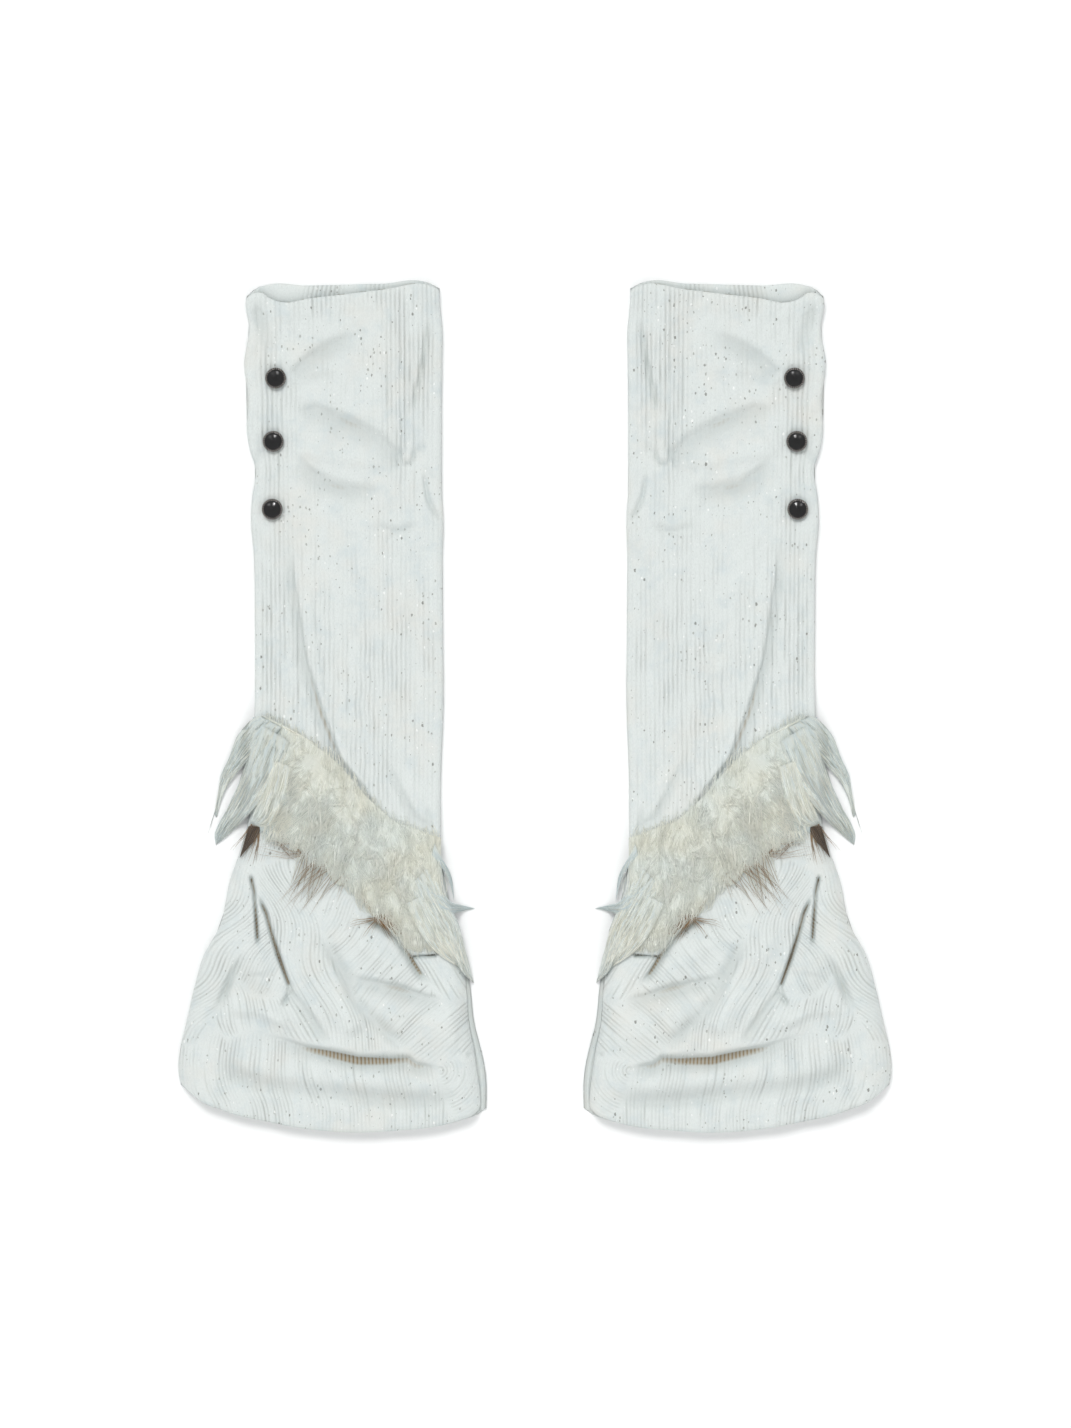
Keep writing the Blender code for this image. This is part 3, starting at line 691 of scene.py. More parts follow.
# The outline's bumps fade inwards, so that the cords inside run straight
PLAIN_SIDES = ((-110, 66.6, -66.6), (100, 66.8, -67), (300, 70.2, -66.6))
BUMP_REACH = 9.0


def tube_spread(shares, along, wall):
    outer, inner = tube_sides(along)
    plain_outer, plain_inner = through(along, PLAIN_SIDES, 1), through(along, PLAIN_SIDES, 2)
    from_outer, from_inner = TUBE_WIDTH * shares, TUBE_WIDTH * (1.0 - shares)
    bumps = (outer - plain_outer) * np.exp(-from_outer / BUMP_REACH)
    bumps = bumps + (inner - plain_inner) * np.exp(-from_inner / BUMP_REACH)
    return spread(shares, (plain_outer, plain_inner), wall) + bumps


shares = np.linspace(0.0, 1.0, TUBE_RIBS * RIB_COLUMNS + 1)[None, :]
rows = np.linspace(0.0, 1.0, TUBE_ROWS + 1)[:, None] ** 1.06
low = seam_at(shares) + SEAM_EDGE
along = through(shares, FRONT_RIM) * (1.0 - rows) + low * rows
sides = tube_sides(along)
wander = 0.0 * along + shares * TUBE_WIDTH
wander = 0.35 * rolling(wander, along, 34.0, 2) + 0.1 * rolling(wander, along, 13.0, 43)
wander = wander * np.sin(np.pi * shares)
across = tube_spread(shares, along, 0.0) + wander
loft, depth = tube_loft(across, along)
below_rim = through(shares, FRONT_RIM) - along
hemmed = 0.5 * (1.0 - smooth((below_rim - RIM_HEM) / 1.5)) - 0.45 * hump(below_rim - RIM_HEM, 0.9)
lip = -1.1 * hump(below_rim, 1.3)
counts = shares * TUBE_RIBS + 0.0 * along
cords = rib_strength(across, along) * groove_depths(counts, along, 21)
cord = 0.25 - TUBE_RIB_HEIGHT * cords * (1.0 - rib_profile(counts))
edge = edge_rise(inside_edges(across, sides), 3.0)
relief = (cord + hemmed) * edge + lip
inner_across = tube_spread(shares, along, CLOTH)
outer, inner = front_wall(across, inner_across, along, sides, loft, TUBE_EDGE_ROUND, relief, 4)
lay_panel("tube_front", outer, inner, counts, cords, depth)


# Fronts of the bells
# The bell is cut much fuller than it lies, so it falls in pleats from the fur, rolls over above its hem and
# is turned up there in a deep hem. The cords follow the cloth, so they turn at each fold.

BELL_EDGE_ROUND = 15.0
BELL_COLUMNS = 270
BELL_ROWS = 258
BELL_RIB_HEIGHT = 0.45
BELL_RIB_PITCH = 2.5
BELL_LOFT = ((0, 7), (0.15, 10), (0.35, 15), (0.55, 18), (0.75, 17), (0.9, 14.6), (1, 12.6))
BELL_FOLDS = (
    Fold(((68.4, -117.2), (65.5, -130), (64.1, -148.4), (62.7, -169)), 1.5, 1.1, -6.4, 0.1, 0.15),
    Fold(((63.4, -131.4), (57, -145.6), (52.8, -161.2), (47.8, -176.7), (42.9, -190.2), (40, -198)),
         1.8, 1.2, -8, 0.2, 0.05),
    Fold(((40, -198), (42, -204), (46.4, -212.2)), 2.2, 1.6, -3.4, 0, 0.4),
    Fold(((40, -200.1), (32.2, -209.3), (23, -221.4), (16.6, -231.3), (10.3, -237)),
         2.6, 4.4, -3.2, 0.05, 0.2),
    Fold(((72, -171.8), (80.4, -187.4), (88.2, -205.8), (96, -221.4)), 3.2, 2.6, -4, 0.25, 0.4),
    Fold(((74, -181), (69.8, -193.2), (64.2, -199.5), (50.6, -202.4)), 6, 5, -1.5, 0.4, 0.4),
    Fold(((62, -166), (60, -190)), 9, 9, 2.6, 0.2, 0.2),
    Fold(((85.4, -212.7), (60.6, -213.2), (32.2, -227.8)), 8, 5, 4.2, 0.25, 0.3),
    Fold(((66.2, -227.8), (47.8, -234.1), (29.4, -240.5), (13.8, -243.3), (-8.1, -248.3), (-30.1, -249),
          (-42.9, -248.3), (-48.5, -252.5), (-67.7, -256.1)), 3, 6.5, -6, 0.34, 0.12),
    Fold(((30, -236), (-8, -240), (-44, -240.5)), 6, 5, 2.2, 0.3, 0.2),
    Fold(((88.2, -243.3), (84, -252.5), (79, -260.3), (63.4, -266), (47.8, -268.8), (25.9, -271.7),
          (7.4, -273.1), (-14.5, -275.9), (-30.1, -278), (-53.5, -278.7), (-66.2, -278), (-75.4, -273.1),
          (-81.8, -265.3)), 7.5, 4.6, -3.2, 0.12, 0.15),
    Fold(((82, -250), (50, -259), (10, -262), (-37, -266), (-72, -266.7)), 8, 7, 1.8, 0.15, 0.15),
    Fold(((39, -145.4), (17, -195), (2, -217.7), (-8.5, -232.6)), 12, 9, 3.8, 0.2, 0.1),
    Fold(((16.6, -159), (10.3, -174.6), (1.1, -190.2), (-3.9, -203), (-14.5, -217.1), (-27.3, -229.2),
          (-39.3, -239.1), (-44.3, -243.3)), 5.5, 4, -3.6, 0.2, 0.2),
    Fold(((1.1, -190.2), (-14.5, -193.7), (-36.5, -198), (-54.9, -204.4), (-70.5, -207.9)),
         3.2, 7.5, -4.2, 0.2, 0.2),
    Fold(((-14.5, -147), (-35.1, -161.2), (-44.3, -174.6), (-52.1, -187.4), (-59.9, -196.6)),
         1.5, 3.4, -5.4, 0.1, 0.2),
    Fold(((-44.3, -175.6), (-64.1, -174.4)), 1, 1.4, -5.4, 0.1, 0.1),
    Fold(((-64.1, -174.6), (-62.4, -165.4)), 1.1, 1.1, -5, 0.1, 0.4),
    Fold(((2, -157.4), (-47.5, -193)), 9.5, 8, 3, 0.2, 0.2),
    Fold(((-20, -214), (-82, -232)), 13, 13, 2.6, 0.2, 0.1),
    Fold(((-83.2, -206), (-88, -232), (-93, -240)), 2, 2, -2, 0.3, 0.2),
    Fold(((-90, -243.6), (-84, -246)), 2, 2, -2.4, 0, 0.3),
)

# Stretches of the bell in which the cords run one way: how many degrees they lean outwards from straight
# down, and the stretch's corners
Lean = namedtuple("Lean", "degrees corners")
LEANS = (
    Lean(40, ((104, -108), (68.4, -112), (63.4, -131.4), (57, -145.6), (52.8, -161.2), (47.8, -176.7),
              (40, -200.1), (50.6, -204.4), (66.2, -202.5), (78, -190), (88.2, -205.8), (96, -221.4),
              (101, -236), (130, -240), (130, -108))),
    Lean(-30, ((78, -190), (66.2, -202.5), (50.6, -204.4), (40, -200.1), (32.2, -209.3), (23, -221.4),
               (16.6, -231.3), (12.3, -236), (14.8, -240.3), (29.4, -237.5), (66.2, -226.8), (84.2, -234.3),
               (96, -221.4), (88.2, -205.8))),
    Lean(-17, ((63.4, -112), (63.4, -131.4), (57, -145.6), (52.8, -161.2), (47.8, -176.7), (40, -200.1),
               (32.2, -209.3), (23, -221.4), (12.3, -236), (-8.1, -244.3), (-42.3, -242.3), (-39.3, -239.1),
               (-27.3, -229.2), (-14.5, -217.1), (-3.9, -203), (1.1, -190.2), (10.3, -174.6), (16.6, -159),
               (21, -136), (30, -100))),
    Lean(38, ((21, -122), (16.6, -159), (10.3, -174.6), (1.1, -190.2), (-14.5, -194), (-36.5, -198),
              (-54.9, -204.4), (-59.9, -196.6), (-52.1, -187.4), (-44.3, -174.6), (-35.1, -161.2),
              (-14.5, -147), (5, -122))),
    Lean(46, ((1.1, -190.2), (-3.9, -203), (-14.5, -217.1), (-27.3, -229.2), (-42.3, -242.3), (-48.5, -250),
              (-62, -252), (-98, -240), (-90, -206), (-70.5, -207.9), (-54.9, -204.4), (-36.5, -198),
              (-14.5, -194))),
    Lean(-34, ((-44.3, -174.6), (-52.1, -187.4), (-59.9, -196.6), (-70.5, -207.9), (-90, -206), (-95, -150),
               (-60, -150), (-64.1, -174.6))),
)
CORNER_ARCS = (-66, -256, ((-62, -252), (-98, -240), (-110, -290), (-74, -288)))
BORDER_FADE = 3.5


def bell_radius(across, along):
    """The radius of the bell's rounded sides, which starts as the tube's at the seam."""
    return TUBE_EDGE_ROUND + (BELL_EDGE_ROUND - TUBE_EDGE_ROUND) * smooth((seam(across) - along) / 90.0)


def within(across, along, corners):
    found = np.zeros(np.shape(across), bool)
    for (a, b), (c, d) in zip(corners, corners[1:] + corners[:1]):
        crosses = (b > along) != (d > along)
        with np.errstate(divide="ignore", invalid="ignore"):
            found ^= crosses & (across < (c - a) * (along - b) / (d - b) + a)
    return found


def border_distance(across, along, corners):
    nearest = np.full(np.shape(across), np.inf)
    for (a, b), (c, d) in zip(corners, corners[1:] + corners[:1]):
        over, up = c - a, d - b
        share = np.clip(((across - a) * over + (along - b) * up) / (over**2 + up**2), 0.0, 1.0)
        nearest = np.minimum(nearest, np.hypot(across - a - share * over, along - b - share * up))
    return nearest


def bell_ribs(across, along, shares):
    """Each point's count of cords in its own stretch, and its distance from the nearest border of one."""
    count = shares * BELL_RIBS + 0.35 * rolling(across, along, 46.0, 9)
    border = np.full(np.shape(across), np.inf)
    bowed = 5.0 * rolling(across, along, 70.0, 7)
    for degrees, corners in LEANS:
        turn = math.radians(degrees)
        lines = (-across * math.cos(turn) - along * math.sin(turn) + bowed) / BELL_RIB_PITCH
        count = np.where(within(across, along, corners), lines, count)
        border = np.minimum(border, border_distance(across, along, corners))
    over, up, corners = CORNER_ARCS
    arcs = np.hypot(across - over, along - up) / BELL_RIB_PITCH
    border = np.minimum(border, border_distance(across, along, corners))
    return np.where(within(across, along, corners), arcs, count), border


shares = np.linspace(0.0, 1.0, BELL_COLUMNS + 1)[None, :]
rows = np.linspace(0.0, 1.0, BELL_ROWS + 1)[:, None]
top = seam_at(shares) - SEAM_EDGE
along = top * (1.0 - rows) + through(shares, HEM) * rows
sides = bell_sides(along)
across = spread(shares, sides, 0.0)
total, depth = fold_sums(across, along, BELL_FOLDS)
loft = np.interp(rows, *zip(*BELL_LOFT)) * 0.4 + through(rows, BELL_LOFT) * 0.6
loft = np.maximum(loft + total + 0.45 * rolling(across, along, 34.0, 3), LEAST_LOFT)
counts, border = bell_ribs(across, along, shares)
hem_edge = 1.2 * hump(along - through(shares, HEM), 1.6)
cords = np.clip(0.7 + 0.4 * rolling(across, along, 40.0, 5), 0.2, 1.0) * smooth(border / BORDER_FADE)
cords = cords * groove_depths(counts, along, 22)
edge = edge_rise(inside_edges(across, sides), 3.0)
relief = (0.2 - BELL_RIB_HEIGHT * cords * (1.0 - rib_profile(counts))) * edge - hem_edge
inner_across = spread(shares, sides, CLOTH)
radius = bell_radius(across, along)
outer, inner = front_wall(across, inner_across, along, sides, loft, radius, relief, 6)
lay_panel("bell_front", outer, inner, counts, cords, depth)


# Fur bands
# A strip of long-haired curly fur is sewn round each leg over the slanting seam. Its pile lies towards the
# hem, matted into soft curls, with leaf-shaped tufts past the outer side and thin brown guard hairs that show
# at its lower edge.

PILE = ((0, 1.2), (0.22, 6.4), (0.45, 7.6), (0.76, 5.2), (1, 1.2))
BACK_LOCKS = (
    (61, 62, -70),
    (40, 44, -76),
    (0, 2, -108),
    (-34, -34, -140),
    (-61, -64, -152),
)
MAT_LOCKS = (
    (66.6, 66, -80),
    (55, 56, -92),
    (44, 44, -96),
    (32, 31, -103),
    (20, 19, -114),
    (8, 6, -123),
    (-4, -6, -133),
    (-16, -19, -146),
    (-28, -33, -158),
    (-40, -45, -171),
    (-52, -56, -170),
    (-66.6, -66, -170),
)

# Leaf-shaped locks: outer and inner edges from root to tip, thickness, level, how grey and how brown they
# are, and how many hairs lie on them
Leaf = namedtuple("Leaf", "outer inner height level grey brown hairs")
LEAVES = (
    # The first, small leaf at the band's lower outer corner is grey and brown together, so it is painted
    # dark: painted shade over the brown underside of the back fur
    Leaf(((66, -84), (69.4, -84), (71.4, -91), (74, -100), (75.6, -106)),
         ((61, -84), (61.4, -88), (65, -94), (70.6, -100), (75.6, -106)), 0.8, 0.6, 0.95, 0.9, 90),
    Leaf(((62, -6), (69.4, -10.2), (78.4, -21), (82.7, -33.7), (88.9, -46), (90.9, -54.7), (91.2, -63.3),
          (94.3, -74.4), (92.8, -78)),
         ((46, -14), (52, -22), (61, -30), (70, -38), (79.4, -47.5), (85.8, -56.1), (89.4, -65.5),
          (91.8, -75), (92.8, -78)), 2.8, 3, 0.42, 0, 170),
    Leaf(((60, -12), (66, -26), (71, -38), (75.4, -49), (79, -61), (85.4, -72.5), (90.4, -81),
          (94, -89.8), (93.2, -97.4)),
         ((40, -24), (44, -38), (50, -50), (57, -62), (66, -71.5), (72, -78), (77.6, -84),
          (84, -89.6), (93.2, -97.4)), 4, 4, 0.4, 0, 220),
    Leaf(((54, -36), (59, -52), (62, -64), (66, -74), (69, -82)),
         ((38, -42), (42, -58), (48, -74), (56, -84), (69, -82)), 3.4, 4.4, 0.1, 0, 110),
    Leaf(((-62, -96), (-67, -106), (-71.4, -114), (-74.2, -122), (-75.6, -137)),
         ((-60, -104), (-65, -110), (-69.4, -116.6), (-72.2, -123), (-75.6, -137)), 1.6, 3, 0.6, 0, 24),
    Leaf(((-60, -126), (-67.5, -131), (-74, -137.6), (-80, -139.6), (-90.4, -142.4)),
         ((-60, -144), (-66, -145.6), (-73.4, -146), (-80, -144.4), (-90.4, -142.4)), 2.6, 3.6, 0.6, 0, 34),
    Leaf(((-58, -112), (-66, -126), (-71.6, -138), (-79, -153), (-82.6, -168), (-87.2, -186),
          (-89.4, -195)),
         ((-44, -126), (-54, -144), (-64, -158), (-71.6, -169), (-76.4, -177), (-81, -186),
          (-89.4, -195)), 3, 3.4, 0.25, 0, 200),
    Leaf(((-54, -132), (-62, -146), (-68, -159), (-74, -171), (-79, -183)),
         ((-42, -138), (-48, -152), (-56, -165), (-66, -175), (-79, -183)), 2.6, 4.4, 0.1, 0, 120),
)
FRINGE_LOCKS = 76
HAIR_STEPS = 5
HAIR_WIDTH = 0.4
LOCK_COUNT = 160
HAIRS_IN_A_LOCK = 12
STRAND_COUNT = 90

# The tufts that stand out: where each starts and ends, its width, hairs, height, curl and bow, and how grey
# and how brown it is
Tuft = namedtuple("Tuft", "root tip width hairs height curl bow grey brown")
TUFTS = (
    Tuft((90, -62), (99, -90), 0.6, 3, 2, 0.3, 0, 0.8, 0.2),
    Tuft((56.6, -7.4), (22, -26), 0.4, 16, 3, 0.2, 0, 0, 0),
    Tuft((54, -44), (74, -74), 1, 6, 9.6, 0.4, 3, 0, 0),
    Tuft((52, -50), (72, -80), 0.7, 3, 9.8, 0.4, 4, 0.9, 0.3),
    Tuft((58, -42), (76, -66), 0.7, 3, 9.4, 0.4, 2, 0.9, 0.3),
    Tuft((48, -60), (70, -77), 1, 4, 8.6, 0.4, 3, 0, 0),
    Tuft((46, -36), (64, -80), 8, 26, 8.4, 0.8, 3, 0.1, 0),
    Tuft((40, -50), (58, -88), 8, 30, 8, 0.9, 4, 0.05, 0),
    Tuft((30, -60), (50, -94), 8, 30, 7.6, 1, 4, 0, 0),
    Tuft((18, -70), (36, -100), 8, 30, 7, 1, 3, 0, 0.03),
    Tuft((64, -80), (74, -106), 3, 26, 1.2, 0.6, -1, 0, 0.85),
    Tuft((37, -95), (61.5, -91), 2, 8, 1.6, 1, -1, 0, 0.85),
    Tuft((25.5, -102), (65.5, -100), 1.6, 7, 1.4, 1.2, -4, 0, 0.85),
    Tuft((38, -96), (27, -106), 1, 5, 2, 0.6, 1, 0, 0.95),
    Tuft((48, -95), (30, -108), 1, 5, 2, 0.6, 2, 0, 0.95),
    Tuft((24, -92), (36, -126), 8, 22, 1.6, 1.2, 0, 0, 0.12),
    Tuft((12, -98), (28, -134), 8, 18, 1.4, 1.2, 0, 0, 0.1),
    Tuft((9.8, -104), (43, -140), 1.4, 4, 3.4, 1.4, 4, 0, 0.8),
    Tuft((0, -106), (45, -140), 1, 3, 3.6, 1, 7, 0, 0.75),
    Tuft((14.2, -106), (32, -144), 1.6, 4, 3.2, 1.2, -3, 0, 0.8),
    Tuft((19.8, -104), (46, -138), 1.6, 4, 3, 1.4, 5, 0, 0.85),
    Tuft((28, -100), (38, -138), 1.6, 4, 3, 1.2, 1, 0, 0.85),
    Tuft((22, -106), (29, -142), 1.6, 3, 3.2, 1.2, -2, 0, 0.8),
    Tuft((5.6, -112), (27, -146), 1.4, 3, 3.2, 1, 2, 0, 0.75),
    Tuft((0, -114), (20, -138), 1, 3, 3.2, 1.4, -4, 0, 0.75),
    Tuft((-4, -116), (8, -136), 1, 3, 3, 1.2, 2, 0, 0.6),
    Tuft((-24, -148), (0, -155), 0.8, 4, 3.2, 1.2, 1, 0, 0.85),
    Tuft((-25, -147), (-3, -149), 0.8, 3, 3.2, 1.2, -2, 0, 0.8),
    Tuft((-24, -148), (-11, -165), 0.8, 4, 3.2, 1.2, 0, 0, 0.85),
    Tuft((-22, -146), (-38.5, -165.4), 2, 20, 3.4, 0.6, 0, 0, 1),
    Tuft((-24, -147), (-39.9, -158.3), 2, 12, 3.8, 0.8, 0, 0, 0.95),
    Tuft((-22, -146), (-35.6, -154.1), 2, 10, 4, 0.8, 0, 0, 0.9),
    Tuft((-12, -134), (-24, -147), 1.4, 8, 3.4, 0.6, 0, 0, 0.8),
    Tuft((-62, -128), (-86, -188), 6, 36, 7, 0.5, -3, 0.3, 0),
    Tuft((-54, -136), (-78, -182), 7, 36, 7, 0.7, -2, 0.2, 0),
    Tuft((-46, -130), (-62, -172), 8, 36, 7, 0.8, -1, 0.05, 0),
    Tuft((-38, -126), (-47, -168), 8, 34, 7, 0.8, 0, 0, 0),
)
THIN_FROM_BROWN = 0.4


def cloth_top(across, along):
    """Height of the front's outer face under a point, and the floor past its edges."""
    tube, bell = tube_sides(along), bell_sides(along)
    on_tube = front_height(across, along, tube, tube_loft(across, along)[0], TUBE_EDGE_ROUND)
    share = (seam(across) - along) / (seam(across) - through((bell[0] - across) / (bell[0] - bell[1]), HEM))
    loft = np.maximum(through(share, BELL_LOFT) + fold_sums(across, along, BELL_FOLDS)[0], LEAST_LOFT)
    on_bell = front_height(across, along, bell, loft, bell_radius(across, along))
    on_tube = np.where(inside_edges(across, tube) < 0.0, 0.0, on_tube)
    on_bell = np.where(inside_edges(across, bell) < 0.0, 0.0, on_bell)
    return np.where(along > seam(across), on_tube, on_bell)


FIELD_STEP = 1.5
field_across = np.arange(-110.0, 121.0, FIELD_STEP)
field_along = np.arange(-215.0, 21.0, FIELD_STEP)
field = cloth_top(*np.meshgrid(field_across, field_along))
down_field, over_field = field.shape
for blur in (np.max, np.max, np.mean, np.mean, np.mean):
    wide = np.pad(field, 1, mode="edge")
    shifted = [wide[a : a + down_field, b : b + over_field] for a in range(3) for b in range(3)]
    field = blur(shifted, axis=0)


def ground(across, along):
    """Height that the fur lies on, read between the points of the field."""
    column = np.clip((across - field_across[0]) / FIELD_STEP, 0, len(field_across) - 1.001)
    row = np.clip((along - field_along[0]) / FIELD_STEP, 0, len(field_along) - 1.001)
    a, b = row.astype(int), column.astype(int)
    c, d = row - a, column - b
    return (
        field[a, b] * (1 - c) * (1 - d)
        + field[a + 1, b] * c * (1 - d)
        + field[a, b + 1] * (1 - c) * d
        + field[a + 1, b + 1] * c * d
    )


def fur_material(name, pale, cream):
    """Long fine fur: soft and slightly satiny, cream in patches, greyer in its tufts and brown in places,
    with darker streaks of painted shade between strands, and painted dark as shade where it is both grey and
    brown.
    """
    settings = {"Roughness": 0.75, "Specular IOR Level": 0.2, "Sheen Weight": 0.15}
    material, tree, shader = new_material(name, settings)
    place = add_node(tree, "ShaderNodeTexCoord").outputs["Object"]
    pattern = add_node(tree, "ShaderNodeUVMap", {"uv_map": "pattern"}).outputs[0]
    brown, grey = stored(tree, "brown"), stored(tree, "grey")
    blotch = noise(tree, place, 34.0, 2.0)[0]
    streak = noise(tree, scaled(tree, pattern, (1.6, 0.14, 1.0)), 1.0, 3.0, distortion=0.8)[0]
    fur = blend_colours(tree, maths(tree, "MINIMUM", excess(tree, blotch, 0.32, 2.0), 0.8), pale, cream)
    # Darker streaks along the hair: painted shade in the partings between strands
    fur = blend_colours(tree, excess(tree, 0.5, streak, 1.2), fur, "#bcc0b5")
    fur = blend_colours(tree, grey, fur, "#bccacd")
    fur = blend_colours(tree, brown, fur, "#8a6634")
    # Painted shade: where a piece is both grey and brown it is painted dark, as the shaded brown underside of
    # the back fur
    fur = blend_colours(tree, maths(tree, "MULTIPLY", brown, grey), fur, "#3f3832")
    tree.links.new(fur, shader.inputs["Base Color"])
    uneven_surface(tree, shader, streak, 0.5, 0.0006)
    return material


# The underfur is painted greyer and darker than the guard hair, as painted shade, so that where it shows it
# matches the shaded hairs over it
underfur = fur_material("matted_underfur", "#d2d8d2", "#d5d3c2")
guard_hair = fur_material("fine_guard_hair", "#f8fcf6", "#f7f4e4")


def flow(line, down, locks):
    """A point of a band: line runs across it from 0 to 1, and down runs from its top edge to its tips."""
    knots = np.linspace(0.0, 1.0, len(locks))
    root, tip_across, tip_along = (through(line, list(zip(knots, column))) for column in zip(*locks))
    start = through(root, FUR_TOP)
    return root + (tip_across - root) * down, start + (tip_along - start) * down


def combed(across, along, line, down):
    """A measure across the hairs, which lean outwards on the outer half of the band and wander a little."""
    lean = 40.0 * down * (1.0 - smooth((line - 0.15) / 0.45))
    return line * TUBE_WIDTH + lean + 7.0 * rolling(across, along, 38.0, 12)


def curls(across, along, line, down):
    """Matted relief, from 0 to 1: wavy strands that run down the band and split and join."""
    shifted = combed(across, along, line, down)
    long_waves = rolling(shifted, 20.0 * down, 10.0, 13)
    short_waves = rolling(shifted + 2.0 * rolling(across, along, 14.0, 15), 34.0 * down, 4.6, 14)
    finest = rolling(shifted + 1.2 * rolling(across, along, 9.0, 19), 50.0 * down, 2.6, 20)
    return 0.5 + 0.2 * long_waves + 0.14 * short_waves + 0.09 * finest


def hair_tubes(starts, ends, bows, waves, levels, width):
    """Three-sided tapering tubes along soft curls, as points and faces."""
    steps = np.linspace(0.0, 1.0, HAIR_STEPS + 1)[None, :, None]
    middles = 0.5 * (starts + ends) + bows
    flat = starts[:, None] * (1 - steps) ** 2 + 2 * middles[:, None] * steps * (1 - steps)
    flat = flat + ends[:, None] * steps**2
    ahead = ends - starts
    ahead /= np.linalg.norm(ahead, axis=-1, keepdims=True)
    aside = np.stack([-ahead[:, 1], ahead[:, 0]], -1)[:, None]
    swing, turns_down, turned = (column[:, None, None] for column in waves)
    flat = flat + aside * swing * steps * np.sin(2.0 * np.pi * turns_down * steps + turned)
    root_level, middle_level, tip_level = (column[:, None] for column in levels)
    share = steps[..., 0]
    level = root_level * (1 - share) ** 2 + 2 * middle_level * share * (1 - share) + tip_level * share**2
    line = np.concatenate([flat, (ground(flat[..., 0], flat[..., 1]) + level)[..., None]], -1)
    tangent = np.gradient(line, axis=1)
    tangent /= np.linalg.norm(tangent, axis=-1, keepdims=True)
    across_hair = np.cross(tangent, [0.0, 0.0, 1.0])
    across_hair /= np.maximum(np.linalg.norm(across_hair, axis=-1, keepdims=True), 1e-6)
    above_hair = np.cross(across_hair, tangent)
    thick = width[:, None, None] * np.sqrt(np.clip(1.02 - steps, 0.02, 1.0)) * 0.5
    corners = [across_hair * np.cos(at) + above_hair * np.sin(at) for at in np.radians((90.0, 210.0, 330.0))]
    rings = np.stack([line + thick * corner for corner in corners], axis=2)
    count = len(starts)
    ring = np.arange(count * (HAIR_STEPS + 1) * 3).reshape(count, HAIR_STEPS + 1, 3)
    faces = []
    for one, two in ((0, 1), (1, 2), (2, 0)):
        walls = np.stack([ring[:, :-1, one], ring[:, 1:, one], ring[:, 1:, two], ring[:, :-1, two]], -1)
        faces.append(walls.reshape(-1, 4))
    caps = np.concatenate([ring[:, 0, :], ring[:, -1, ::-1]])
    return rings.reshape(-1, 3), np.concatenate(faces).tolist() + caps.tolist()


chance = np.random.default_rng(11)
hairs = {word: [] for word in ("start", "end", "bow", "wave", "level", "grey", "brown")}


def add_lock(root, tip, width, count, levels, curl, bow, grey, brown):
    """Scatters the hairs of one lock, which curl alike, side by side at its root and together at its tip."""
    root, tip = np.array(root), np.array(tip)
    ahead = tip - root
    length = np.hypot(*ahead)
    aside = np.array([-ahead[1], ahead[0]]) / length
    spot = chance.uniform(-1.0, 1.0, count)
    back = chance.uniform(-0.1, 0.2, count)
    starts = root + spot[:, None] * 0.75 * width * aside + back[:, None] * ahead
    short = chance.uniform(0.8 if brown < THIN_FROM_BROWN else 0.6, 1.1, count)[:, None]
    gather = 0.3 if brown < THIN_FROM_BROWN else 4.0
    lock_turn = chance.uniform(0.0, 2.0 * math.pi)
    hairs["start"].append(starts)
    hairs["end"].append(starts + (tip + spot[:, None] * gather * width * aside - starts) * short)
    hairs["bow"].append((spot * 0.45 * width + bow + chance.normal(0.0, 0.5, count))[:, None] * aside)
    swing = curl * chance.uniform(0.7, 1.2, count)
    turns_down = chance.uniform(0.6, 1.0) + chance.normal(0.0, 0.05, count)
    hairs["wave"].append(np.stack([swing, turns_down, lock_turn + chance.normal(0.0, 0.25, count)]))
    uneven = chance.uniform(-0.4, 0.6, (3, count)) * ((0.5,), (1.0,), (0.4,))
    hairs["level"].append(np.array(levels)[:, None] + uneven)
    hairs["grey"].append(np.full(count, grey) + chance.uniform(0.0, 0.12, count))
    hairs["brown"].append(np.full(count, brown))


MAT_HEIGHT = 0.68
LOCK_ROWS = 10
lock_lines = LOCK_COUNT // LOCK_ROWS
for number in range(LOCK_COUNT):
    line = 0.2 + 0.77 * (number % lock_lines + chance.uniform(0.0, 1.0)) / lock_lines
    down = 0.78 * (number // lock_lines + chance.uniform(0.0, 1.0)) / LOCK_ROWS
    root = np.array(flow(line, down, MAT_LOCKS))
    ahead = np.array(flow(line, down + 0.3, MAT_LOCKS)) - root
    ahead = ahead / np.hypot(*ahead) * chance.uniform(18.0, 30.0)
    outward = 36.0 * (1.0 - float(smooth((line - 0.25) / 0.4)))
    lean = math.radians(outward + 24.0 * rolling(root[0], root[1], 30.0, 16) + chance.normal(0.0, 8.0))
    turn_matrix = np.array(((math.cos(lean), -math.sin(lean)), (math.sin(lean), math.cos(lean))))
    tip = root + turn_matrix @ ahead
    fall = np.hypot(*(np.array(flow(line, 1.0, MAT_LOCKS)) - np.array(flow(line, 0.0, MAT_LOCKS))))
    reach = min(down + np.hypot(*ahead) / fall, 1.0)
    levels = [float(through(spot, PILE)) * MAT_HEIGHT + 0.9 for spot in (down, 0.5 * (down + reach), reach)]
    levels[0] -= 1.0
    curl, bow, grey = chance.uniform(0.2, 1.3), chance.normal(0.0, 1.5), chance.uniform(0.0, 0.12)
    add_lock(root, tip, chance.uniform(7.0, 13.0), HAIRS_IN_A_LOCK, levels, curl, bow, grey, 0.0)

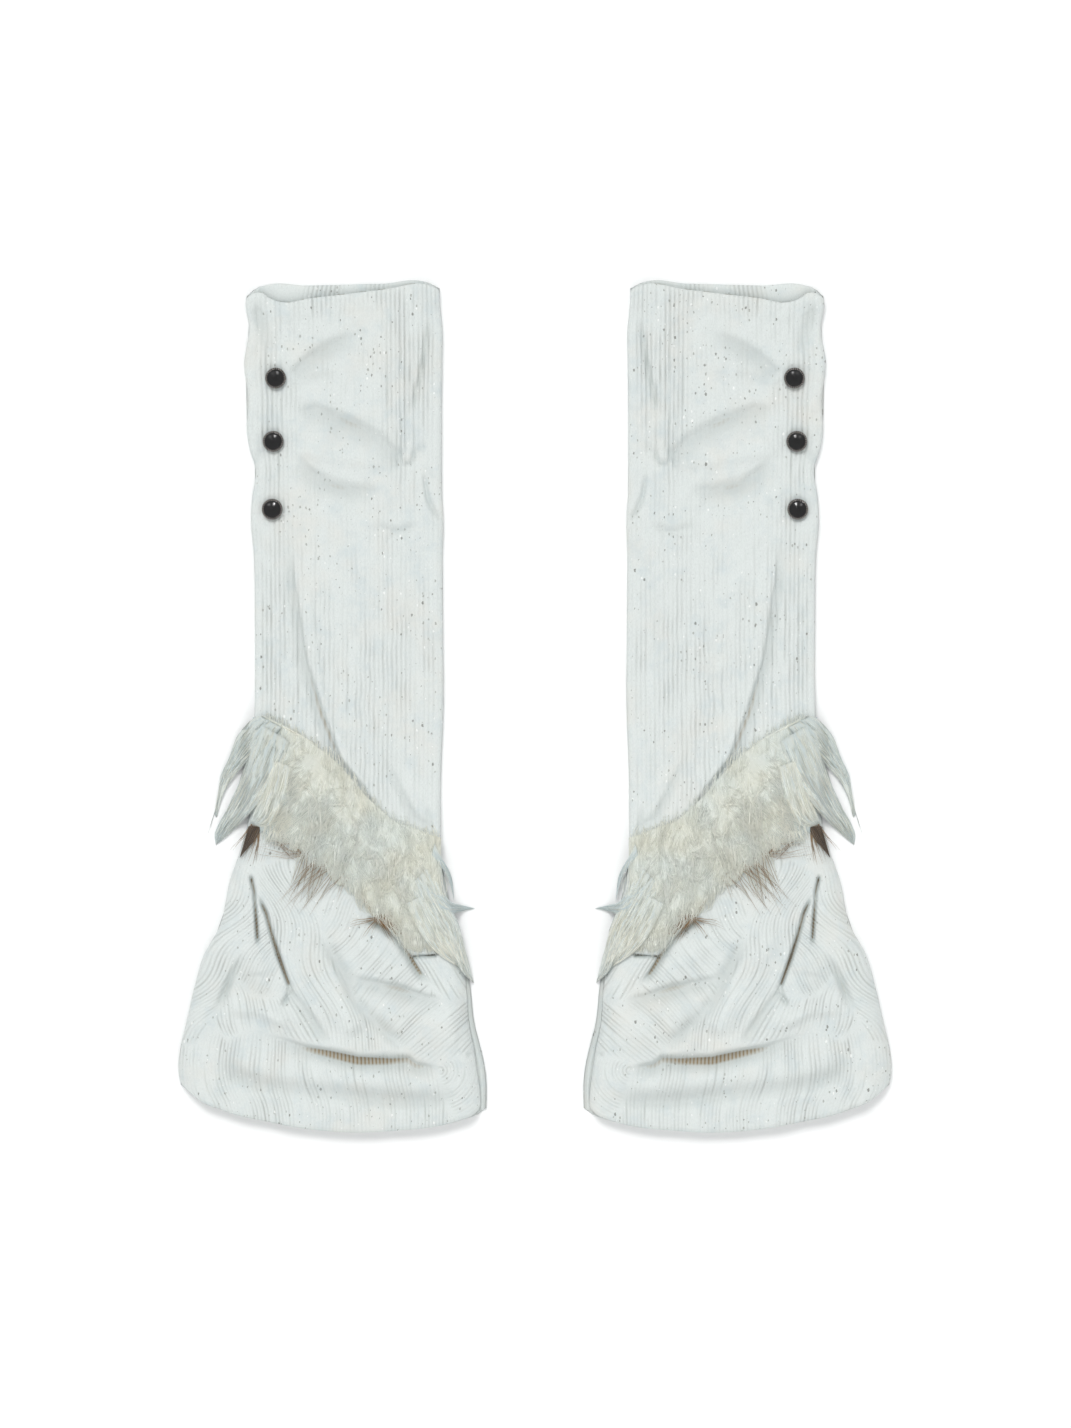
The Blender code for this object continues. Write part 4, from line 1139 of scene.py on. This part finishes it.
# Pale curled strands that stand up from the mat
for number in range(STRAND_COUNT):
    line, down = chance.uniform(0.06, 0.94), chance.uniform(0.02, 0.7)
    root = flow(line, down, MAT_LOCKS)
    tip = flow(line - chance.uniform(-0.03, 0.12), down + chance.uniform(0.14, 0.3), MAT_LOCKS)
    level = float(through(down, PILE)) * MAT_HEIGHT + 1.0
    levels = (level - 0.4, level + 1.4, level)
    add_lock(root, tip, 0.9, 4, levels, chance.uniform(0.8, 2.4), chance.normal(0.0, 4.0), 0.0, 0.0)

# The fringe of short hairs past the underfur's lower edge, and at the band's upper edge
for number in range(FRINGE_LOCKS):
    line = 0.08 + 0.9 * (number + chance.uniform(0.0, 1.0)) / FRINGE_LOCKS
    root = np.array(flow(line, chance.uniform(0.84, 0.93), MAT_LOCKS))
    tip = np.array(flow(line, chance.uniform(0.99, 1.07), MAT_LOCKS))
    tip = tip + (4.0 * (1.0 - float(smooth(line / 0.5))) + chance.normal(0.0, 1.0), 0.0)
    add_lock(root, tip, chance.uniform(3.0, 6.0), 8, (2.6, 2.4, 0.8), 0.5, chance.normal(0.0, 1.0), 0.05, 0.0)
    root = np.array(flow(line, chance.uniform(-0.05, -0.01), MAT_LOCKS))
    tip = np.array(flow(line, chance.uniform(0.1, 0.2), MAT_LOCKS)) + (chance.normal(0.0, 2.0), 0.0)
    add_lock(root, tip, chance.uniform(4.0, 7.0), 5, (0.6, 2.2, 3.4), 0.4, chance.normal(0.0, 1.0), 0.05, 0.0)


def on_leaf(leaf, over, down):
    """A place on a leaf's top: over runs from its outer edge to its inner one, and down from root to tip."""
    knots = np.linspace(0.0, 1.0, len(leaf.outer))
    edges = []
    for edge in (leaf.outer, leaf.inner):
        edges.append([through(down, list(zip(knots, column))) for column in zip(*edge)])
    (outer_across, outer_along), (inner_across, inner_along) = edges
    across = outer_across * (1.0 - over) + inner_across * over
    along = outer_along * (1.0 - over) + inner_along * over
    width = np.hypot(outer_across - inner_across, outer_along - inner_along)
    bulge = np.sqrt(np.clip(1.0 - (2.0 * over - 1.0) ** 2, 0.0, 1.0)) * np.minimum(leaf.height, 0.45 * width)
    under = leaf.level * (1.0 - smooth((down - 0.2) / 0.8)) + 0.3
    return across, along, under, bulge, width


for leaf in LEAVES:
    count = leaf.hairs
    over = chance.uniform(0.02, 0.98, count)
    first = chance.uniform(0.0, 0.7, count)
    last = np.minimum(first + chance.uniform(0.25, 0.6, count), chance.uniform(0.93, 1.0, count))
    spots, levels = [], []
    for down in (first, 0.5 * (first + last), last):
        shifted = np.clip(over + 0.04 * (down - first), 0.0, 1.0)
        across, along, under, bulge = on_leaf(leaf, shifted, down)[:4]
        spots.append(np.stack([across, along], -1))
        levels.append(under + bulge + 0.35)
    hairs["start"].append(spots[0])
    hairs["end"].append(spots[2])
    hairs["bow"].append(2.0 * spots[1] - spots[0] - spots[2])
    hairs["wave"].append(np.stack([chance.uniform(0.0, 0.25, count), np.full(count, 0.8), 6.3 * over]))
    hairs["level"].append(np.stack([levels[0] - 0.4, levels[1], levels[2]]))
    hairs["grey"].append(np.clip(leaf.grey + chance.uniform(-0.45, 0.45, count), 0.0, 1.0))
    hairs["brown"].append(leaf.brown * chance.uniform(0.7, 1.3, count))
for tuft in TUFTS:
    levels = (1.0, 0.9 * tuft.height, 0.7)
    add_lock(tuft.root, tuft.tip, tuft.width, tuft.hairs, levels, tuft.curl, tuft.bow, tuft.grey, tuft.brown)

browns, greys = np.concatenate(hairs["brown"]), np.concatenate(hairs["grey"])
widths = HAIR_WIDTH * chance.uniform(0.7, 1.3, len(browns)) * (1.0 + 0.1 * browns)
points, faces = hair_tubes(
    np.concatenate(hairs["start"]),
    np.concatenate(hairs["end"]),
    np.concatenate(hairs["bow"]),
    np.concatenate(hairs["wave"], axis=1),
    np.concatenate(hairs["level"], axis=1),
    widths,
)
in_hair = (HAIR_STEPS + 1) * 3
pile_values = {
    "brown": np.repeat(browns, in_hair),
    "grey": np.repeat(greys, in_hair),
    "pattern": np.stack([
        np.repeat(chance.uniform(0.0, 400.0, len(browns)), in_hair),
        np.tile(np.repeat(np.linspace(0.0, 30.0, HAIR_STEPS + 1), 3), len(browns)),
    ], -1),
}


def fur_mat(locks, columns, rows, thickness, base_height):
    """The matted underfur, with curls on its top and a ragged lower edge."""
    line, down = np.linspace(0.0, 1.0, columns + 1)[None, :], np.array(rows)[:, None]
    line, down = np.broadcast_arrays(line, down)
    ragged = down * (1.0 + 0.03 * rolling(line * TUBE_WIDTH, 0.0 * line, 8.0, 18))
    across, along = flow(line, ragged, locks)
    low = base_height(across, along)
    sides_fall = edge_rise(np.minimum(line, 1.0 - line) + 0.004, 0.05)
    top = low + thickness(down) * (0.72 + 0.4 * curls(across, along, line, down)) * sides_fall
    pattern = np.stack([combed(across, along, line, down), down * 90.0], -1)
    grey = 0.75 * (1.0 - smooth(line / 0.3)) + 0.15 * (1.0 - line)
    inner = grid(across, along, low)[::4, ::4]
    return closed_wall(grid(across, along, top), inner, pattern, {"grey": grey, "brown": 0.0})


LEAF_COLUMNS = 16
LEAF_ROWS = 40


def fur_leaf(leaf):
    """A flat lock of combed hairs between its two edges, which meet at its tip."""
    down = np.linspace(0.0, 1.0, LEAF_ROWS + 1)[:, None]
    over = np.linspace(0.0, 1.0, LEAF_COLUMNS + 1)[None, :]
    across, along, under, bulge, width = on_leaf(leaf, over, down)
    long = down * np.hypot(leaf.outer[0][0] - leaf.outer[-1][0], leaf.outer[0][1] - leaf.outer[-1][1])
    strands = rolling(over * width.max() + 0.8 * rolling(across, along, 12.0, 31), 0.12 * long, 2.4, 32)
    low = ground(across, along) + under
    top = low + 0.2 + bulge * (0.8 + 0.28 * strands)
    pattern = np.stack(np.broadcast_arrays(over * width.max(), long), -1)
    grey = np.clip(leaf.grey + 0.3 * down**3 * (1.0 - leaf.brown) + 0.3 * strands, 0.0, 1.0)
    inner = grid(across, along, low)[::4, ::4]
    return closed_wall(grid(across, along, top), inner, pattern, {"grey": grey, "brown": leaf.brown})


def joined(parts):
    """Several meshes, each as points, faces and values, as one."""
    points, faces, values, start = [], [], {}, 0
    for part_points, part_faces, part_values in parts:
        points.append(part_points)
        faces += [[corner + start for corner in face] for face in part_faces]
        start += len(part_points)
        for word, numbers in part_values.items():
            values.setdefault(word, []).append(numbers)
    return np.concatenate(points), faces, {word: np.concatenate(numbers) for word, numbers in values.items()}


front_mat = fur_mat(
    MAT_LOCKS,
    200,
    np.linspace(0.0, 1.0, 101),
    lambda down: MAT_HEIGHT * through(down, PILE) * np.sqrt(np.clip(1.0 - (down / 1.02) ** 8, 0.02, 1.0)),
    lambda across, along: ground(across, along) + 0.5,
)
leaves = joined([fur_leaf(leaf) for leaf in LEAVES])
back_mat = fur_mat(
    BACK_LOCKS,
    60,
    np.linspace(0.14, 0.96, 21),
    lambda down: 3.0 * np.sqrt(np.clip(1.0 - (2.0 * (down - 0.55) / 0.84) ** 4, 0.02, 1.0)),
    lambda across, along: 0.1 + 0.0 * across,
)
FUR_PIECES = (
    ("fur_front_mat", front_mat, underfur, "fur_front"),
    ("fur_front_leaves", leaves, underfur, "fur_front"),
    ("fur_front_pile", (points, faces, pile_values), guard_hair, "fur_front"),
    ("fur_back_mat", back_mat, underfur, "fur_back"),
)
for word, side in SIDES:
    for name, shape, fur, node in FUR_PIECES:
        piece = put(f"{word}_{name}", side, *shape)
        piece.data.materials.append(fur)
        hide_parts(f"{word}_{node}")
        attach(piece, "root")


# Buttons
# Each is a moulded black button with a dished middle, four holes close together and a gunmetal rope rim.

DISC_RADIUS = 6.2
DISC_HEIGHT = 2.4
DISH_STEPS = ((0.7, 0.5), (0.5, -0.1), (0.4, -0.14), (1.7, -0.62), (0.4, -0.12), (0.6, -0.05))
HOLES = 4
HOLE_RADIUS = 0.7
HOLES_FROM_MIDDLE = 1.25
DRILL_LENGTH = 8.0
ROPE_RADIUS = 6.6
STRAND_RADIUS = 0.8
ROPE_BEADS = 30


def black_plastic_material():
    """Polished casein-like plastic, black, with soft highlights from its dished face."""
    settings = {"Base Color": colour("#0b0b0c"), "Specular IOR Level": 0.5}
    material, tree, shader = new_material("polished_black_plastic", settings)
    haze = noise(tree, add_node(tree, "ShaderNodeTexCoord").outputs["Object"], 900.0, 2.0)[0]
    dull = maths(tree, "ADD", maths(tree, "MULTIPLY", haze, 0.08), 0.13)
    tree.links.new(dull, shader.inputs["Roughness"])
    return material


def gunmetal_material():
    """Dark plated rope edge, worn brighter in fine flecks."""
    material, tree, shader = new_material("gunmetal_plating", {"Metallic": 0.9, "Roughness": 0.3})
    wear = noise(tree, add_node(tree, "ShaderNodeTexCoord").outputs["Object"], 1400.0, 3.0)[0]
    tree.links.new(blend_colours(tree, wear, "#77726e", "#bdb7b1"), shader.inputs["Base Color"])
    return material


black_plastic = black_plastic_material()
gunmetal = gunmetal_material()


def choose(mesh, test):
    """Selects the faces in edit mode that pass a test of how far upwards they face, from -1 to 1."""
    edit = bmesh.from_edit_mesh(mesh)
    for face in edit.faces:
        face.select_set(test(face.normal.z))
    bmesh.update_edit_mesh(mesh)


def select_only(piece):
    bpy.ops.object.select_all(action="DESELECT")
    piece.select_set(True)
    bpy.context.view_layer.objects.active = piece


def move_to_origin(piece):
    """Moves a piece's place into its mesh, with its object at the origin."""
    select_only(piece)
    bpy.ops.object.transform_apply(location=True, rotation=True, scale=True)


def round_spot(place, turn, radius, above):
    """A place on a level circle round another place, at a height above it."""
    over, up = radius * MM * math.cos(turn), radius * MM * math.sin(turn)
    return place[0] + over, place[1] + up, place[2] + above * MM


def model_button(name, place):
    bpy.ops.object.select_all(action="DESELECT")
    bpy.ops.mesh.primitive_cylinder_add(
        vertices=48, radius=DISC_RADIUS * MM, depth=DISC_HEIGHT * MM, location=place
    )
    disc = bpy.context.object
    disc.name = name
    bpy.ops.object.mode_set(mode="EDIT")
    choose(disc.data, lambda upwards: upwards > 0.5)
    for inwards, upwards in DISH_STEPS:
        bpy.ops.mesh.inset(thickness=inwards * MM)
        bpy.ops.transform.translate(value=(0.0, 0.0, upwards * MM))
    choose(disc.data, lambda upwards: upwards < -0.5)
    bpy.ops.mesh.inset(thickness=2.2 * MM)
    bpy.ops.transform.translate(value=(0.0, 0.0, -0.5 * MM))
    bpy.ops.object.mode_set(mode="OBJECT")
    for hole in range(HOLES):
        spot = round_spot(place, math.radians(45.0 + 90.0 * hole), HOLES_FROM_MIDDLE, 3.2)
        bpy.ops.mesh.primitive_cylinder_add(
            vertices=16, radius=HOLE_RADIUS * MM, depth=DRILL_LENGTH * MM, location=spot
        )
        drill = bpy.context.object
        cut = disc.modifiers.new("hole", "BOOLEAN")
        cut.operation = "DIFFERENCE"
        cut.object = drill
        bpy.context.view_layer.objects.active = disc
        bpy.ops.object.modifier_apply(modifier=cut.name)
        bpy.data.objects.remove(drill, do_unlink=True)
    select_only(disc)
    soft = disc.modifiers.new("soft_edges", "BEVEL")
    soft.width = 0.16 * MM
    soft.segments = 2
    soft.limit_method = "ANGLE"
    soft.angle_limit = math.radians(28.0)
    bpy.ops.object.modifier_apply(modifier=soft.name)
    bpy.ops.object.shade_smooth_by_angle(angle=math.radians(40.0))
    disc.data.materials.append(black_plastic)
    move_to_origin(disc)
    return disc


def model_rope(name, place):
    bpy.ops.object.select_all(action="DESELECT")
    bpy.ops.mesh.primitive_torus_add(
        major_radius=ROPE_RADIUS * MM,
        minor_radius=STRAND_RADIUS * MM,
        major_segments=72,
        minor_segments=8,
        location=place,
    )
    rope = bpy.context.object
    rope.name = name
    rope.data.materials.append(black_plastic)
    for number in range(ROPE_BEADS):
        turn = 2.0 * math.pi * number / ROPE_BEADS
        spot = round_spot(place, turn, ROPE_RADIUS, 0.35)
        bpy.ops.mesh.primitive_uv_sphere_add(
            segments=10, ring_count=6, radius=STRAND_RADIUS * MM, location=spot
        )
        bead = bpy.context.object
        bead.data.materials.append(gunmetal)
        bead.scale = (1.1, 0.55, 0.8)
        bead.rotation_euler = (0.0, 0.0, turn + math.radians(25.0))
        rope.select_set(True)
        bpy.context.view_layer.objects.active = rope
        bpy.ops.object.join()
        bpy.ops.object.select_all(action="DESELECT")
    rope.data.shade_smooth()
    move_to_origin(rope)
    return rope


for word, side in SIDES:
    for number in range(1, len(BUTTON_PLACES) + 1):
        low_corner, high_corner = (np.array(corner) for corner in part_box(f"{word}_button_{number}"))
        centre = 0.5 * (low_corner + high_corner)
        disc = model_button(f"{word}_button_{number}_disc", (centre[0], centre[1], low_corner[2] + 1.75 * MM))
        rope = model_rope(f"{word}_button_{number}_rope", (centre[0], centre[1], low_corner[2] + 2.3 * MM))
        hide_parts(f"{word}_button_{number}")
        for piece in (disc, rope):
            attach(piece, "root")


# Studio
# A white table top under the pair, a large soft light from beyond the rims, a little light from below the
# hems and an even white room.

FLOOR_SIZE = 40.0
bpy.ops.object.select_all(action="DESELECT")
bpy.ops.mesh.primitive_plane_add(size=FLOOR_SIZE, location=(0.0, 0.0, -0.0002))
floor = bpy.context.object
floor.name = "white_table"
paper = new_material("white_paper", {"Base Color": colour("#fbfcfc"), "Roughness": 0.9})[0]
floor.data.materials.append(paper)

world = bpy.data.worlds.new("white_room")
world.use_nodes = True
room = world.node_tree.nodes["Background"].inputs
room["Color"].default_value = (1.0, 1.0, 1.0, 1.0)
room["Strength"].default_value = 0.65
bpy.context.scene.world = world


def soft_light(name, place, size, power, mirrored):
    """An area light aimed at the pair. A mirrored one is there only for the highlights on the buttons."""
    light = bpy.data.lights.new(name, "AREA")
    light.size = size
    light.energy = power
    lamp = bpy.data.objects.new(name, light)
    lamp.location = place
    direction = -np.array(place) / np.linalg.norm(place)
    lamp.rotation_euler = (math.acos(-direction[2]), 0.0, math.atan2(direction[0], -direction[1]) + math.pi)
    lamp.visible_glossy = mirrored
    lamp.visible_diffuse = not mirrored
    bpy.context.scene.collection.objects.link(lamp)


soft_light("window", (-1.6, 5.2, 8.8), 3.6, 470.0, False)
soft_light("fill", (0.2, -1.6, 1.8), 1.2, 9.0, False)
soft_light("low_left", (-1.3, -2.25, 3.0), 0.55, 80.0, True)
soft_light("low_right", (1.3, -2.25, 3.0), 0.55, 80.0, True)

PIXEL = 0.7084 * MM
PHOTO_WIDTH = 1071
CAMERA_HEIGHT = 3.2
camera_data = bpy.data.cameras.new("camera")
camera_data.sensor_fit = "HORIZONTAL"
camera_data.sensor_width = 36.0
camera_data.lens = 36.0 * CAMERA_HEIGHT / (PHOTO_WIDTH * PIXEL)
camera = bpy.data.objects.new("camera", camera_data)
camera.location = (0.5 * PIXEL, -6.5 * PIXEL, CAMERA_HEIGHT)
bpy.context.scene.collection.objects.link(camera)
bpy.context.scene.camera = camera
bpy.context.scene.view_settings.view_transform = "Standard"
